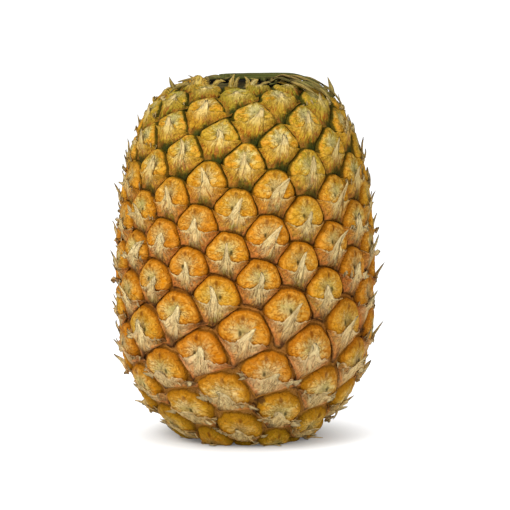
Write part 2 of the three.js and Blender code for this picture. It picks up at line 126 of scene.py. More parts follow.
def bell(across: Array, up: Array | float = 0.0) -> Array:
    """The bell exp(-across^2 - up^2)."""
    return np.exp(-(across**2) - up**2)


def blend(a: Array, b: Array, share: Array) -> Array:
    """The straight mix of a and b: a where share is 0 and b where it is 1."""
    return a + (b - a) * share


def varied(index: float, trait: int) -> float:
    """A repeatable number from -1 to 1 for an eye and one of its traits.

    The fraction of sin(12.9898 index + 78.233 trait) times 43758.5453, spread to -1..1.
    """
    wave = math.sin(index * 12.9898 + trait * 78.233) * 43758.5453
    return 2.0 * (wave - math.floor(wave)) - 1.0


def bands(first: int, last: int) -> dict[str, range]:
    """The eyes of the lower, the middle and the upper band."""
    lower, upper = SPLITS
    return {"lower": range(first, lower), "middle": range(lower, upper), "upper": range(upper, last + 1)}


# ---- The grown body


@dataclass(frozen=True)
class Outline:
    """The outline of the body over the tops of its eyes."""

    stations: tuple[tuple[float, float, float], ...] = (
        # eye index, height, radius
        (-131.8, -1.2, 7), (-103.8, -1.2, 22), (-98.8, -1.0, 29), (-95.3, 0.4, 33.5),
        (-92.8, 3.0, 37.2), (-90.3, 6.5, 40.3), (-87.8, 10.0, 43.6), (-84.8, 14.4, 47.8),
        (-81.8, 19.0, 51.3), (-77.9, 25.2, 55.2), (-73, 32.8, 59.0), (-68.2, 40.2, 61.8),
        (-63.4, 47.8, 63.6), (-58.5, 55.2, 64.6), (-48.6, 70.0, 65.3), (-38.6, 82.4, 65.4),
        (-28.6, 93.0, 65.2), (-18.6, 103.3, 64.6), (-8.6, 113.8, 63.8), (1.4, 124.3, 62.6),
        (11.4, 134.9, 60.7), (21.2, 145.6, 58.0), (30.8, 155.9, 54.3), (39.8, 165.5, 49.2),
        (46, 172.0, 44.2), (51.5, 176.8, 38.6), (56.5, 179.8, 32.8), (61.8, 181.0, 26.4),
        (67.2, 181.2, 20), (92, 181.2, 5),
    )

    @property
    def ends(self) -> Pair:
        """The first and the last index of the outline."""
        return self.stations[0][0], self.stations[-1][0]

    def _through(self, column: int, at: Array) -> Array:
        """A monotone cubic through one column, with harmonic-mean slopes.

        Args:
            column: 1 for the height, 2 for the radius.
            at: indices.

        Returns:
            The column's value at each index.
        """
        table = np.array(self.stations, float)
        x, y = table[:, 0], table[:, column]
        slope = np.diff(y) / np.diff(x)
        product = slope[:-1] * slope[1:]
        total = slope[:-1] + slope[1:]
        inner = np.where(product > 0, 2 * product / np.where(total == 0, 1, total), 0.0)
        tangent = np.concatenate([slope[:1], inner, slope[-1:]])
        value = np.clip(np.asarray(at, float), x[0], x[-1])
        n = np.clip(np.searchsorted(x, value, side="left") - 1, 0, len(x) - 2)
        span = x[n + 1] - x[n]
        t = (value - x[n]) / span
        rise = y[n] * (1 + 2 * t) * (1 - t) ** 2 + y[n + 1] * t * t * (3 - 2 * t)
        return rise + span * (tangent[n] * t * (1 - t) ** 2 - tangent[n + 1] * t * t * (1 - t))

    def height(self, at: Array) -> Array:
        """Height at each index."""
        return self._through(1, at)

    def radius(self, at: Array) -> Array:
        """Radius at each index."""
        return self._through(2, at)

    def normal(self, at: Array) -> tuple[Array, Array]:
        """The outward and the upward part of the outline's unit normal at each index."""
        along = self.radius(at + 0.5) - self.radius(at - 0.5)
        rise = self.height(at + 0.5) - self.height(at - 0.5)
        length = np.hypot(along, rise)
        length = np.where(length == 0, 1.0, length)
        return rise / length, -along / length


@dataclass(frozen=True)
class Spiral:
    """Where the eyes sit on the body, and how a point of the skin is found."""

    outline: Outline = field(default_factory=Outline)
    phase: float = -4.551
    turn: float = 137.3164
    turn_slope: float = 0.00078
    turn_curve: float = 0.000177
    slide: float = -0.39
    slide_rise: float = 3.63
    slide_centre: float = -20.0
    slide_span: float = 60.0
    slide_ends: Pair = (-108.0, 86.0)
    slide_fade: float = 22.0
    groove: float = 4.4
    smallest_ring: float = 22.0
    smallest_pace: float = 0.55
    pace_span: float = 4.0
    end_margin: float = 6.0
    relief_from: float = 19.0
    relief_full: float = 27.0
    rim_drop: float = 1.1
    back_drop: float = 0.6
    rim_from: float = 42.0
    rim_full: float = 58.0

    def azimuth(self, index: Array | float) -> Array | float:
        """Azimuth in degrees to the right of the front: a cubic in the index."""
        bend = self.turn_slope * index**2 / 2 + self.turn_curve * index**3 / 6
        return self.phase + self.turn * index + bend

    def turn_at(self, index: float) -> float:
        """Degrees from one eye to the next, the slope of the azimuth."""
        return self.turn + self.turn_slope * index + self.turn_curve * index**2 / 2

    def slid(self, index: Array) -> Array:
        """How far the right side's eyes sit above the left's, in indices, faded at the ends."""
        low, high = self.slide_ends
        start = smoothstep(low, low + self.slide_fade, index)
        stop = smoothstep(high - self.slide_fade, high, index)
        line = self.slide + self.slide_rise * (index - self.slide_centre) / self.slide_span
        return line * start * (1 - stop)

    def relief(self, radius: Array) -> Array:
        """Share of the full relief at a radius: none near the stalk and in the crown."""
        return smoothstep(self.relief_from, self.relief_full, radius)

    def skin(self, index: Array, degrees: Array, height: Array) -> Array:
        """Points of the fruit.

        The outline is read at the slid index. The point goes out along the outline's normal
        by its height above the groove less the groove's depth, times the relief. The skin
        round the crown sits a little lower, most at the back.

        Args:
            index: place up the spiral.
            degrees: azimuth.
            height: height above the groove.

        Returns:
            An array of points, one row each.
        """
        low, high = self.outline.ends
        index = np.clip(index, low, high)
        azimuth = np.radians(degrees)
        at = index + self.slid(index) * np.sin(azimuth)
        outward, upward = self.outline.normal(at)
        radius = self.outline.radius(at)
        out = (height - self.groove) * self.relief(radius)
        far = np.maximum(0.0, radius + out * outward)
        drop = self.rim_drop + self.back_drop * (0.5 - 0.5 * np.cos(azimuth))
        drop = drop * smoothstep(self.rim_from, self.rim_full, at)
        level = self.outline.height(at) + out * upward - drop
        return np.stack([far * np.sin(azimuth), -far * np.cos(azimuth), level], axis=-1)

    def steps(self, index: float) -> Array:
        """The steps to the eyes 8 and 13 places on, in millimetres right and up.

        Args:
            index: place up the spiral.

        Returns:
            A 2 x 2 array: row 0 is the step of 8, row 1 the step of 13.
        """
        first, last = self.outline.ends
        at = min(max(index, first + self.end_margin), last - self.end_margin)
        span = self.pace_span
        radius = max(self.smallest_ring, float(self.outline.radius(at)))
        run = float(self.outline.radius(at + span) - self.outline.radius(at - span))
        rise = float(self.outline.height(at + span) - self.outline.height(at - span))
        pace = max(self.smallest_pace, math.hypot(run, rise) / (2 * span))
        turn = self.turn_at(at)
        return np.array([
            [radius * math.radians(places * turn - 360 * turns), places * pace]
            for places, turns in ((8, EIGHT_TURNS), (13, THIRTEEN_TURNS))
        ])

    def meeting(self, eye: float) -> tuple[bool, Array]:
        """Where eyes i, i+8, i+13 and i+21 meet.

        Either i and i+21 share a wall there, or i+8 and i+13 do: the one whose ends are
        the centres of the circles through three of the four eyes.

        Returns:
            Whether i+8 and i+13 share it, and its two ends in steps of 8 and 13 from i.
        """
        eight, thirteen = self.steps(eye + 21 / 2)
        a, b, c = eight @ eight, thirteen @ thirteen, eight @ thirteen
        d = a * b - c * c
        if c < 0:
            s, t = (a * b - b * c - 2 * c * c) / (2 * d), (a * b + a * c) / (2 * d)
            return False, np.array([[s, t], [1 - s, 1 - t]])
        s, t = (a * b - b * c) / (2 * d), (a * b - a * c) / (2 * d)
        return True, np.array([[s, t], [1 - s, 1 - t]])

    def corners(self, eye: int) -> Array:
        """An eye's corners, anticlockwise.

        Args:
            eye: the eye's index.

        Returns:
            Rows of steps of 8 and 13 from its centre.
        """
        right_along, right = self.meeting(eye - 13)
        above_along, above = self.meeting(eye)
        left_along, left = self.meeting(eye - 8)
        below_along, below = self.meeting(eye - 21)
        parts = [
            (right if right_along else right[1:]) - (0, 1),
            above[:1] if above_along else above,
            (left[::-1] if left_along else left[:1]) - (1, 0),
            (below[1:] if below_along else below[::-1]) - (1, 1),
        ]
        return np.concatenate(parts)


@dataclass
class Eye:
    """One small fruit of the spiral, with its own plane of millimetres right and up."""

    index: int
    spiral: Spiral
    common_width: float = 21.5
    low_span: Pair = (-45, -75)
    high_span: Pair = (20, 45)
    last_span: Pair = (46, 58)

    def __post_init__(self) -> None:
        """Works out the corners, the walls, the size against a common eye and the zone.

        Low, high and last run from 0 to 1 into the lowest, the upper and the topmost eyes.
        Flank is 0 at the front and the back and 1 at the sides.
        """
        self.step = self.spiral.steps(self.index)
        self.back = np.linalg.inv(self.step)
        self.corner_steps = self.spiral.corners(self.index)
        self.corner = self.corner_steps @ self.step
        edge = np.roll(self.corner, -1, axis=0) - self.corner
        length = np.hypot(edge[:, 0], edge[:, 1])
        kept = length > 1e-6
        edge, length, start = edge[kept], length[kept], self.corner[kept]
        self.inward = np.stack([-edge[:, 1], edge[:, 0]], axis=1) / length[:, None]
        self.depth = -np.sum(start * self.inward, axis=1)
        (right, up), (right_on, up_on) = self.step
        self.size = math.sqrt(abs(right * up_on - up * right_on)) / self.common_width
        self.low, self.high, self.last = (
            self.share(*span) for span in (self.low_span, self.high_span, self.last_span)
        )
        self.flank = abs(math.sin(math.radians(self.spiral.azimuth(self.index))))

    def share(self, start: float, stop: float) -> float:
        """How far the eye is from one index to another, from 0 to 1, smoothly."""
        return float(smoothstep(start, stop, self.index))

    def chance(self, trait: Trait) -> float:
        """The eye's own number from -1 to 1 for one trait."""
        return varied(self.index, trait)

    def common(self, spot: Array) -> tuple[Array, Array]:
        """How far right and up points of the eye's plane are, in millimetres of a common eye."""
        scaled = spot / self.size
        return scaled[..., 0], scaled[..., 1]

    def to_wall(self, spot: Array) -> Array:
        """Distance to the nearest wall, with the corners rounded off.

        The soft minimum -ln(sum of exp(-b d)) / b over the walls' distances d, never below 0.

        Args:
            spot: points of the eye's plane, one row each.

        Returns:
            One distance for each point, in millimetres.
        """
        sharpness = 0.85
        each = spot @ self.inward.T + self.depth
        nearest = each.min(axis=-1)
        spread = np.exp(-sharpness * (each - nearest[..., None])).sum(axis=-1)
        return np.maximum(0.0, nearest - np.log(spread) / sharpness)

    def reach(self, degrees: Array) -> Array:
        """Points of the wall in some directions from the centre, one row each."""
        way = np.stack([np.cos(np.radians(degrees)), np.sin(np.radians(degrees))], axis=-1)
        closing = -(way @ self.inward.T)
        distance = np.where(closing > 1e-9, self.depth / np.where(closing > 1e-9, closing, 1), np.inf)
        return way * distance.min(axis=-1)[..., None]

    def at_steps(self, steps: Array, height: Array) -> Array:
        """Points of the skin at some steps of 8 and 13 from the eye's centre."""
        index = self.index + 8 * steps[..., 0] + 13 * steps[..., 1]
        turns = EIGHT_TURNS * steps[..., 0] + THIRTEEN_TURNS * steps[..., 1]
        return self.spiral.skin(index, self.spiral.azimuth(index) - 360 * turns, height)

    def place(self, spot: Array, height: Array) -> Array:
        """Points of the skin above points of the eye's plane, in millimetres."""
        return self.at_steps(spot @ self.back, height)


# ---- The form of an eye


@dataclass(frozen=True)
class EyeForm:
    """The relief of an eye: a plump dome above, and a bract that covers the lower part."""

    dome_height: float = 4.1
    dome_reach: float = 5.6
    bract_height: float = 4.0
    bract_reach: float = 9.0
    bract_room: float = 0.5
    groove_half: float = 0.25
    groove_fill: float = 1.4
    round_half: Pair = (12.7, 12.0)
    round_centre: float = 0.4
    hub: float = 2.6
    edge_sharpness: float = 1.5
    edge_wave: float = 0.09
    low_edge_wave: float = 2.0
    low_shrink: float = 0.05
    shrink_span: Pair = (-30, -62)
    foot_extra: float = 1.1
    pit_depth: float = 1.1
    ring_at: float = 2.5
    ring_half: float = 1.3
    ring_rise: float = 0.65
    middle_at: float = 3.2
    middle_half: Pair = (3.6, 2.9)
    middle_sink: float = 1.05
    notch_at: float = 8.2
    notch_half: Pair = (0.9, 2.2)
    notch_sway: float = 0.9
    notch_sink: float = 0.9
    fold: float = 0.16
    low_calm: float = 0.6
    left_end: float = 184.0
    right_end: float = 345.0
    end_sway: float = 7.0
    tongue_sway: float = 0.9
    foot_share: float = 1.025
    tongue_share: float = 0.26
    tongue_half: float = 2.5
    tongue_foot: float = -2.2
    tongue_top: float = 5.3
    sag: float = 1.25

    def inward(self, eye: Eye, spot: Array) -> Array:
        """Distance in from the dome's wavy edge, in millimetres of a common eye.

        The softly lower one of the distances from the wall and from an ellipse, which is
        smaller on the lower eyes, less two waves round the hub, which are deeper there. It
        is below 0 in the pits where three eyes meet.

        Args:
            eye: the eye.
            spot: points of its plane, in millimetres.

        Returns:
            One distance for each point.
        """
        across, up = eye.common(spot)
        angle = np.arctan2(up - self.hub, across)
        wave = np.cos(5 * angle + 3 * eye.chance(Trait.EDGE_BROAD))
        wave = wave + np.cos(9 * angle + 3 * eye.chance(Trait.EDGE_FINE))
        shrink = 1 - self.low_shrink * eye.share(*self.shrink_span)
        wide, tall = (value * shrink for value in self.round_half)
        oval = (1 - np.sqrt((across / wide) ** 2 + ((up - self.round_centre) / tall) ** 2)) * tall
        walled = eye.to_wall(spot) / eye.size - self.groove_half
        sharp = self.edge_sharpness
        nearest = -np.log(np.exp(-sharp * walled) + np.exp(-sharp * oval)) / sharp
        return nearest - self.edge_wave * (1 + self.low_edge_wave * eye.low) * (2 + wave)

    def dome(self, eye: Eye, spot: Array) -> Array:
        """Height of the dome: G + (H - G) (1 - (1 - x)^2.4)^0.6 of the distance x in.

        Outside its edge the pits sink below the groove. A low ring swells inside the rim,
        the middle sinks a little and a notch marks the top of the rim, each of them a bell
        and calmer on the lowest eyes. Folds run out from the hub.

        Args:
            eye: the eye.
            spot: points of its plane, in millimetres.

        Returns:
            One height above the groove for each point.
        """
        across, up = eye.common(spot)
        angle = np.arctan2(up - self.hub, across)
        inward = self.inward(eye, spot)
        x = np.clip(inward / self.dome_reach, 0.0, 1.0)
        rise = (self.dome_height - self.groove_fill) * (1 - (1 - x) ** 2.4) ** 0.6
        height = self.groove_fill + rise - self.pit_depth * smoothstep(0.1, -0.7, inward)
        ring = bell((inward - self.ring_at) / self.ring_half)
        wide, tall = self.middle_half
        middle = bell(across / wide, (up - self.middle_at) / tall)
        wide, tall = self.notch_half
        aside = self.notch_sway * eye.chance(Trait.NOTCH)
        notch = bell((across - aside) / wide, (up - self.notch_at) / tall)
        relief = self.ring_rise * ring - self.middle_sink * middle - self.notch_sink * notch
        folds = np.cos(8 * angle + 3 * eye.chance(Trait.FOLD_BROAD))
        folds = folds + 0.8 * np.cos(15 * angle + 5 * eye.chance(Trait.FOLD_FINE))
        window = x * (1 - np.exp(-(across**2 + (up - self.hub) ** 2) / 12.0))
        return height + x * (1 - self.low_calm * eye.low) * relief + self.fold * folds * window

    def cover(self, eye: Eye, spot: Array) -> Array:
        """Height of the bract's body: G + (H - G) (1 - (1 - x)^1.9)^0.8 of the distance in."""
        inward = eye.to_wall(spot) / eye.size - self.groove_half
        x = np.clip(inward / self.bract_reach, 0.0, 1.0)
        return self.groove_fill + (self.bract_height - self.groove_fill) * (1 - (1 - x) ** 1.9) ** 0.8

    def foot(self, eye: Eye, degrees: Array) -> Array:
        """Points where the bract ends: a little past the wall, and further into the pits.

        A pit is where the wall lies outside the dome's ellipse; the foot runs into it by a
        share of how far outside.
        """
        wall = eye.reach(degrees)
        far = np.hypot(wall[..., 0], wall[..., 1])
        wide, tall = (value * eye.size for value in self.round_half)
        way = wall / far[..., None]
        oval = 1 / np.sqrt((way[..., 0] / wide) ** 2 + (way[..., 1] / tall) ** 2)
        return way * (far * self.foot_share + self.foot_extra * np.maximum(0.0, far - oval))[..., None]

    def directions(self, eye: Eye) -> Pair:
        """Directions in degrees of the left and the right end of an eye's bract."""
        left = self.left_end + self.end_sway * eye.chance(Trait.LEFT_END)
        return left, self.right_end + self.end_sway * eye.chance(Trait.RIGHT_END)

    def ends(self, eye: Eye) -> Array:
        """The left and the right end of an eye's bract, one row each."""
        return eye.reach(np.array(self.directions(eye))) * self.foot_share

    def aside(self, eye: Eye) -> float:
        """How far right of the middle an eye's tongue stands."""
        return self.tongue_sway * eye.chance(Trait.ASIDE) * eye.size

    def hang(self, eye: Eye, level: Array, foot: float, q: Array) -> Array:
        """Height up the eye of the margin at share q of the way from the tongue to its end.

        F + (E - F) q^1.7 - S sin(pi q^0.55), from the tongue's foot F to the end's level E.
        """
        sag = self.sag * (1 + 0.4 * eye.chance(Trait.SAG)) * eye.size
        return foot + (level - foot) * q**1.7 - sag * np.sin(np.pi * q**0.55)

    def end_beside(self, eye: Eye, left: Array) -> tuple[Array, Array]:
        """How far right and up the bract's end is, on the left or the right of its tongue."""
        ends = self.ends(eye)
        return np.where(left, ends[0, 0], ends[1, 0]), np.where(left, ends[0, 1], ends[1, 1])

    def margin_line(self, eye: Eye, across: Array) -> Array:
        """Height up the eye of the bract's margin at some distances across, without its tongue."""
        aside, half = self.aside(eye), self.tongue_half * eye.size
        from_tongue = across - aside
        end, level = self.end_beside(eye, from_tongue < 0)
        q = np.clip((np.abs(from_tongue) - half) / (np.abs(end - aside) - half), 0.0, 1.0)
        return self.hang(eye, level, self.tongue_foot * eye.size, q)

    def rind(self, eye: Eye, spot: Array) -> Array:
        """Height of the rind: the dome, and below the margin the bract's bed."""
        under = smoothstep(0.2, 1.4, self.margin_line(eye, spot[..., 0]) - spot[..., 1])
        bed = np.maximum(self.groove_fill, self.cover(eye, spot) - self.bract_room)
        return blend(self.dome(eye, spot), bed, under)


# ---- Meshes


@dataclass
class Surface:
    """Points, faces and per-corner values of one closed piece, gathered before its mesh is made."""

    points: list[Array] = field(default_factory=list)
    faces: list[Array] = field(default_factory=list)
    values: dict[str, list[Array]] = field(default_factory=dict)
    count: int = 0

    def add(self, points: Array, faces: Array, **values: Array) -> None:
        """Adds points (n x 3, mm), faces (m x 4, a triangle repeats its last) and their values.

        Args:
            points: the places of the points.
            faces: four point numbers a face.
            values: for each name one row of three numbers a point.
        """
        self.points.append(points)
        self.faces.append(faces + self.count)
        for name, rows in values.items():
            self.values.setdefault(name, []).append(rows)
        self.count += len(points)

    def add_sheet(self, points: Array, faces: Array, **values: Array) -> None:
        """Adds a thin sheet whose inner points follow the outer ones and have the same values."""
        self.add(points, faces, **{name: np.tile(rows, (2, 1)) for name, rows in values.items()})

    def weld(self) -> tuple[Array, Array, dict[str, Array]]:
        """Merges equal points and drops the faces that vanish.

        Returns:
            The points, the faces with their merged numbers and, for each name, one row of
            three numbers a face corner.
        """
        points = np.concatenate(self.points)
        faces = np.concatenate(self.faces)
        cells = np.round(points * WELD_CELLS).astype(np.int64)
        _, first, where = np.unique(cells, axis=0, return_index=True, return_inverse=True)
        where = where.reshape(-1)
        merged = where[faces]
        values = {name: np.concatenate(rows)[faces] for name, rows in self.values.items()}
        same = merged == np.roll(merged, -1, axis=1)
        across = (merged[:, 0] == merged[:, 2]) | (merged[:, 1] == merged[:, 3])
        kept = (same.sum(axis=1) < 2) & ~across
        return points[first], merged[kept], {name: rows[kept] for name, rows in values.items()}


def quads(number: Array, turned: bool = False) -> Array:
    """The faces of a grid of point numbers, or of several, seen from behind if turned."""
    a, b = number[..., :-1, :-1], number[..., :-1, 1:]
    c, d = number[..., 1:, 1:], number[..., 1:, :-1]
    return np.stack([a, d, c, b] if turned else [a, b, c, d], axis=-1).reshape(-1, 4)


def two_sides(faces: Array, count: int, *edges: Array) -> Array:
    """The faces of a thin sheet of twice count points: outside, turned over inside, and edges."""
    return np.concatenate([faces, faces[:, ::-1] + count, *edges])


def open_edges(faces: Array, count: int) -> Array:
    """The directed edges that no face runs back along.

    Args:
        faces: four point numbers a face, where a triangle repeats one of them.
        count: how many points there are.

    Returns:
        Pairs of point numbers, one row for each open edge.
    """
    start = faces.reshape(-1)
    stop = np.roll(faces, -1, axis=1).reshape(-1)
    real = start != stop
    start, stop = start[real].astype(np.int64), stop[real].astype(np.int64)
    lone = ~np.isin(start * count + stop, stop * count + start)
    return np.stack([start[lone], stop[lone]], axis=1)


def make_piece(
    name: str,
    points: Array,
    faces: Array,
    values: dict[str, Array],
    shift: Array,
    crease: Array | None = None,
) -> bpy.types.Object:
    """A mesh object from arrays, in metres and in the row's frame.

    Args:
        name: the piece's name.
        points: n x 3 in millimetres round the fruit's axis.
        faces: m x 4, where a triangle repeats one number.
        values: m x 4 x 3 numbers for each attribute; the one named "UVMap" becomes a UV map.
        shift: from the fruit's axis to the row's origin, in millimetres.
        crease: pairs of point numbers whose edges stay sharp.

    Returns:
        The new object, at the origin and in the scene.
    """
    real = faces != np.roll(faces, 1, axis=1)
    totals = real.sum(axis=1)
    corners = faces[real]
    mesh = bpy.data.meshes.new(name)
    mesh.vertices.add(len(points))
    mesh.vertices.foreach_set("co", ((points + shift) * METRES).astype(np.float32).ravel())
    mesh.loops.add(len(corners))
    mesh.loops.foreach_set("vertex_index", corners.astype(np.int32))
    mesh.polygons.add(len(faces))
    starts = np.concatenate([[0], np.cumsum(totals)[:-1]])
    mesh.polygons.foreach_set("loop_start", starts.astype(np.int32))
    mesh.update(calc_edges=True)
    mesh.polygons.foreach_set("use_smooth", np.ones(len(faces), bool))
    for attribute, rows in values.items():
        row = rows[real]
        if attribute == "UVMap":
            layer = mesh.uv_layers.new(name="UVMap")
            layer.data.foreach_set("uv", row[:, :2].astype(np.float32).ravel())
        else:
            layer = mesh.attributes.new(attribute, "FLOAT_VECTOR", "CORNER")
            layer.data.foreach_set("vector", row.astype(np.float32).ravel())
    if crease is not None and len(crease):
        pairs = np.empty(len(mesh.edges) * 2, np.int32)
        mesh.edges.foreach_get("vertices", pairs)
        ordered = (np.sort(rows, axis=1).astype(np.int64) for rows in (pairs.reshape(-1, 2), crease))
        sharp = np.isin(*(rows[:, 0] * len(points) + rows[:, 1] for rows in ordered))
        mesh.attributes.new("sharp_edge", "BOOLEAN", "EDGE").data.foreach_set("value", sharp)
    mesh.validate()
    piece = bpy.data.objects.new(name, mesh)
    bpy.context.scene.collection.objects.link(piece)
    triangles = int((totals - 2).sum())
    LOG.info("%s: %d points, %d triangles", name, len(points), triangles)
    return piece


# ---- The rind


class End(Enum):
    """How the open end of a band of the rind is closed."""

    SOCKET = "round the stalk: a flat ring, the socket's wall and its floor"
    INSIDE = "inside the fruit: a plain cone"
    CROWN = "in the crown's hollow: a flat floor"


@dataclass
class Rind:
    """The skin of the fruit: every eye's dome and bed, joined at the grooves between them."""

    spiral: Spiral
    form: EyeForm
    first: int = -103
    last: int = 75
    cuts: int = 13
    cut_power: float = 1.25
    crown_floor: float = 174.5
    crown_floor_radius: float = 21.0
    crown_flare: float = 10.0 / 15.5
    socket_radius: float = 11.0
    socket_chamfer: Pair = (0.25, 0.3)
    socket_depth: float = 8.9
    deepest_mark: float = -4.0
    end_place: tuple[float, float, float] = (0.0, -8.0, 0.4)
    end_mark: tuple[float, float, float] = (0.0, 0.0, 5.0)

    def _unit(self) -> tuple[Array, Array, Array]:
        """The parameters and faces of one kite, closer together near the wall."""
        line = 1 - (1 - np.linspace(0, 1, self.cuts + 1)) ** self.cut_power
        a, b = np.meshgrid(line, line, indexing="ij")
        return a.ravel(), b.ravel(), quads(np.arange(a.size).reshape(a.shape), turned=True)

    def _hollowed(self, points: Array) -> Array:
        """The points kept above the ground and under the crown's hollow."""
        far = np.hypot(points[:, 0], points[:, 1])
        floor = self.crown_floor + np.maximum(0.0, far - self.crown_floor_radius) / self.crown_flare
        points = points.copy()
        points[:, 2] = np.clip(points[:, 2], 0.0, floor)
        return points

    def _cell(self, eye: Eye, unit: tuple[Array, Array, Array], into: Surface) -> None:
        """Adds one eye: kites from its centre to each corner, raised by the form.

        A kite runs from the centre along the middles of two walls to the corner between
        them: (1-a)(1-b) centre + a(1-b) middle + ab corner + (1-a)b next middle.

        Args:
            eye: the eye.
            unit: the kite's a and b and its faces.
            into: what the eye is added to.
        """
        a, b, faces = unit
        corner = eye.corner_steps
        middle = (corner + np.roll(corner, -1, axis=0)) / 2
        before = np.roll(middle, 1, axis=0)
        shares = ((a * (1 - b), before), (a * b, corner), ((1 - a) * b, middle))
        steps = sum(share[None, :, None] * part[:, None, :] for share, part in shares).reshape(-1, 2)
        spot = steps @ eye.step
        points = self._hollowed(eye.at_steps(steps, self.form.rind(eye, spot)))
        every = (faces[None] + len(a) * np.arange(len(corner))[:, None, None]).reshape(-1, 4)
        wall = np.maximum(self.deepest_mark, self.form.inward(eye, spot))
        into.add(points, every, place=np.column_stack([spot / eye.size, wall]), eye=eye_mark(eye, spot))

    def _end(self, end: End, start: Array) -> tuple[list[Pair], float]:
        """The rings of radius and height that close an end, and the height of its last point.

        Args:
            end: how it is closed.
            start: the points of its open loop.

        Returns:
            The rings and the last height.
        """
        if end is End.SOCKET:
            out, up = self.socket_chamfer
            radius, depth = self.socket_radius, self.socket_depth
            return [(radius + out, 0.0), (radius, up), (radius, depth)], depth
        return [], float(start[:, 2].mean()) if end is End.INSIDE else self.crown_floor

    def _close(
        self, points: Array, faces: Array, values: dict[str, Array], ends: tuple[End, End],
    ) -> tuple[Array, Array, dict[str, Array], Array]:
        """Closes the two open ends of a band.

        Each open loop is joined to rings round the axis and the last ring to a point on it.

        Args:
            points: the band's points.
            faces: its faces.
            values: its corner values.
            ends: the kinds of its lower and its upper end.

        Returns:
            The points, faces and values with the ends added, and the loops' edges.
        """
        edges = open_edges(faces, len(points))
        half = (points[:, 2].max() + points[:, 2].min()) / 2
        lower = points[edges[:, 0], 2] < half
        for part, end in zip((edges[lower], edges[~lower]), ends):
            loop, back = np.unique(part, return_inverse=True)
            back = back.reshape(part.shape)
            start = points[loop]
            far = np.hypot(start[:, 0], start[:, 1])[:, None]
            way = start[:, :2] / far
            rings, centre = self._end(end, start)
            here = loop
            for radius, level in rings:
                ring = np.column_stack([way * radius, np.full(len(loop), level)])
                there = np.arange(len(loop)) + len(points)
                points = np.concatenate([points, ring])
                new = [here[back[:, 1]], here[back[:, 0]], there[back[:, 0]], there[back[:, 1]]]
                faces = np.concatenate([faces, np.column_stack(new)])
                here = there
            tip = np.full(len(back), len(points))
            points = np.concatenate([points, [[0.0, 0.0, centre]]])
            fan = np.column_stack([here[back[:, 1]], here[back[:, 0]], tip, tip])
            faces = np.concatenate([faces, fan])
        extra = len(faces) - len(next(iter(values.values())))
        fill = {"place": self.end_place, "eye": self.end_mark}
        values = {
            name: np.concatenate([rows, np.broadcast_to(fill[name], (extra, 4, 3))])
            for name, rows in values.items()
        }
        return points, faces, values, edges

    def build(self, shift: Array) -> list[bpy.types.Object]:
        """Makes the rind in three bands that meet in the grooves along a row of eyes.

        Args:
            shift: from the fruit's axis to the row's origin, in millimetres.

        Returns:
            The three pieces.
        """
        unit = self._unit()
        ends = ((End.SOCKET, End.INSIDE), (End.INSIDE, End.INSIDE), (End.INSIDE, End.CROWN))
        pieces = []
        for (band, run), kinds in zip(bands(self.first, self.last).items(), ends):
            surface = Surface()
            for index in run:
                self._cell(Eye(index, self.spiral), unit, surface)
            points, faces, values, edges = self._close(*surface.weld(), kinds)
            pieces.append(make_piece(f"rind_{band}", points, faces, values, shift, crease=edges))
        return pieces


def eye_mark(eye: Eye, spot: Array) -> Array:
    """Per point: two repeatable numbers of the eye from 0 to 1, and how far its nearest corner is."""
    far = np.hypot(*(spot[:, None, :] - eye.corner[None]).transpose(2, 0, 1)).min(axis=1)
    one, two = (np.full(len(spot), 0.5 + 0.5 * eye.chance(trait)) for trait in (Trait.NOTCH, Trait.TONE))
    return np.column_stack([one, two, far / eye.size])


# ---- The bracts


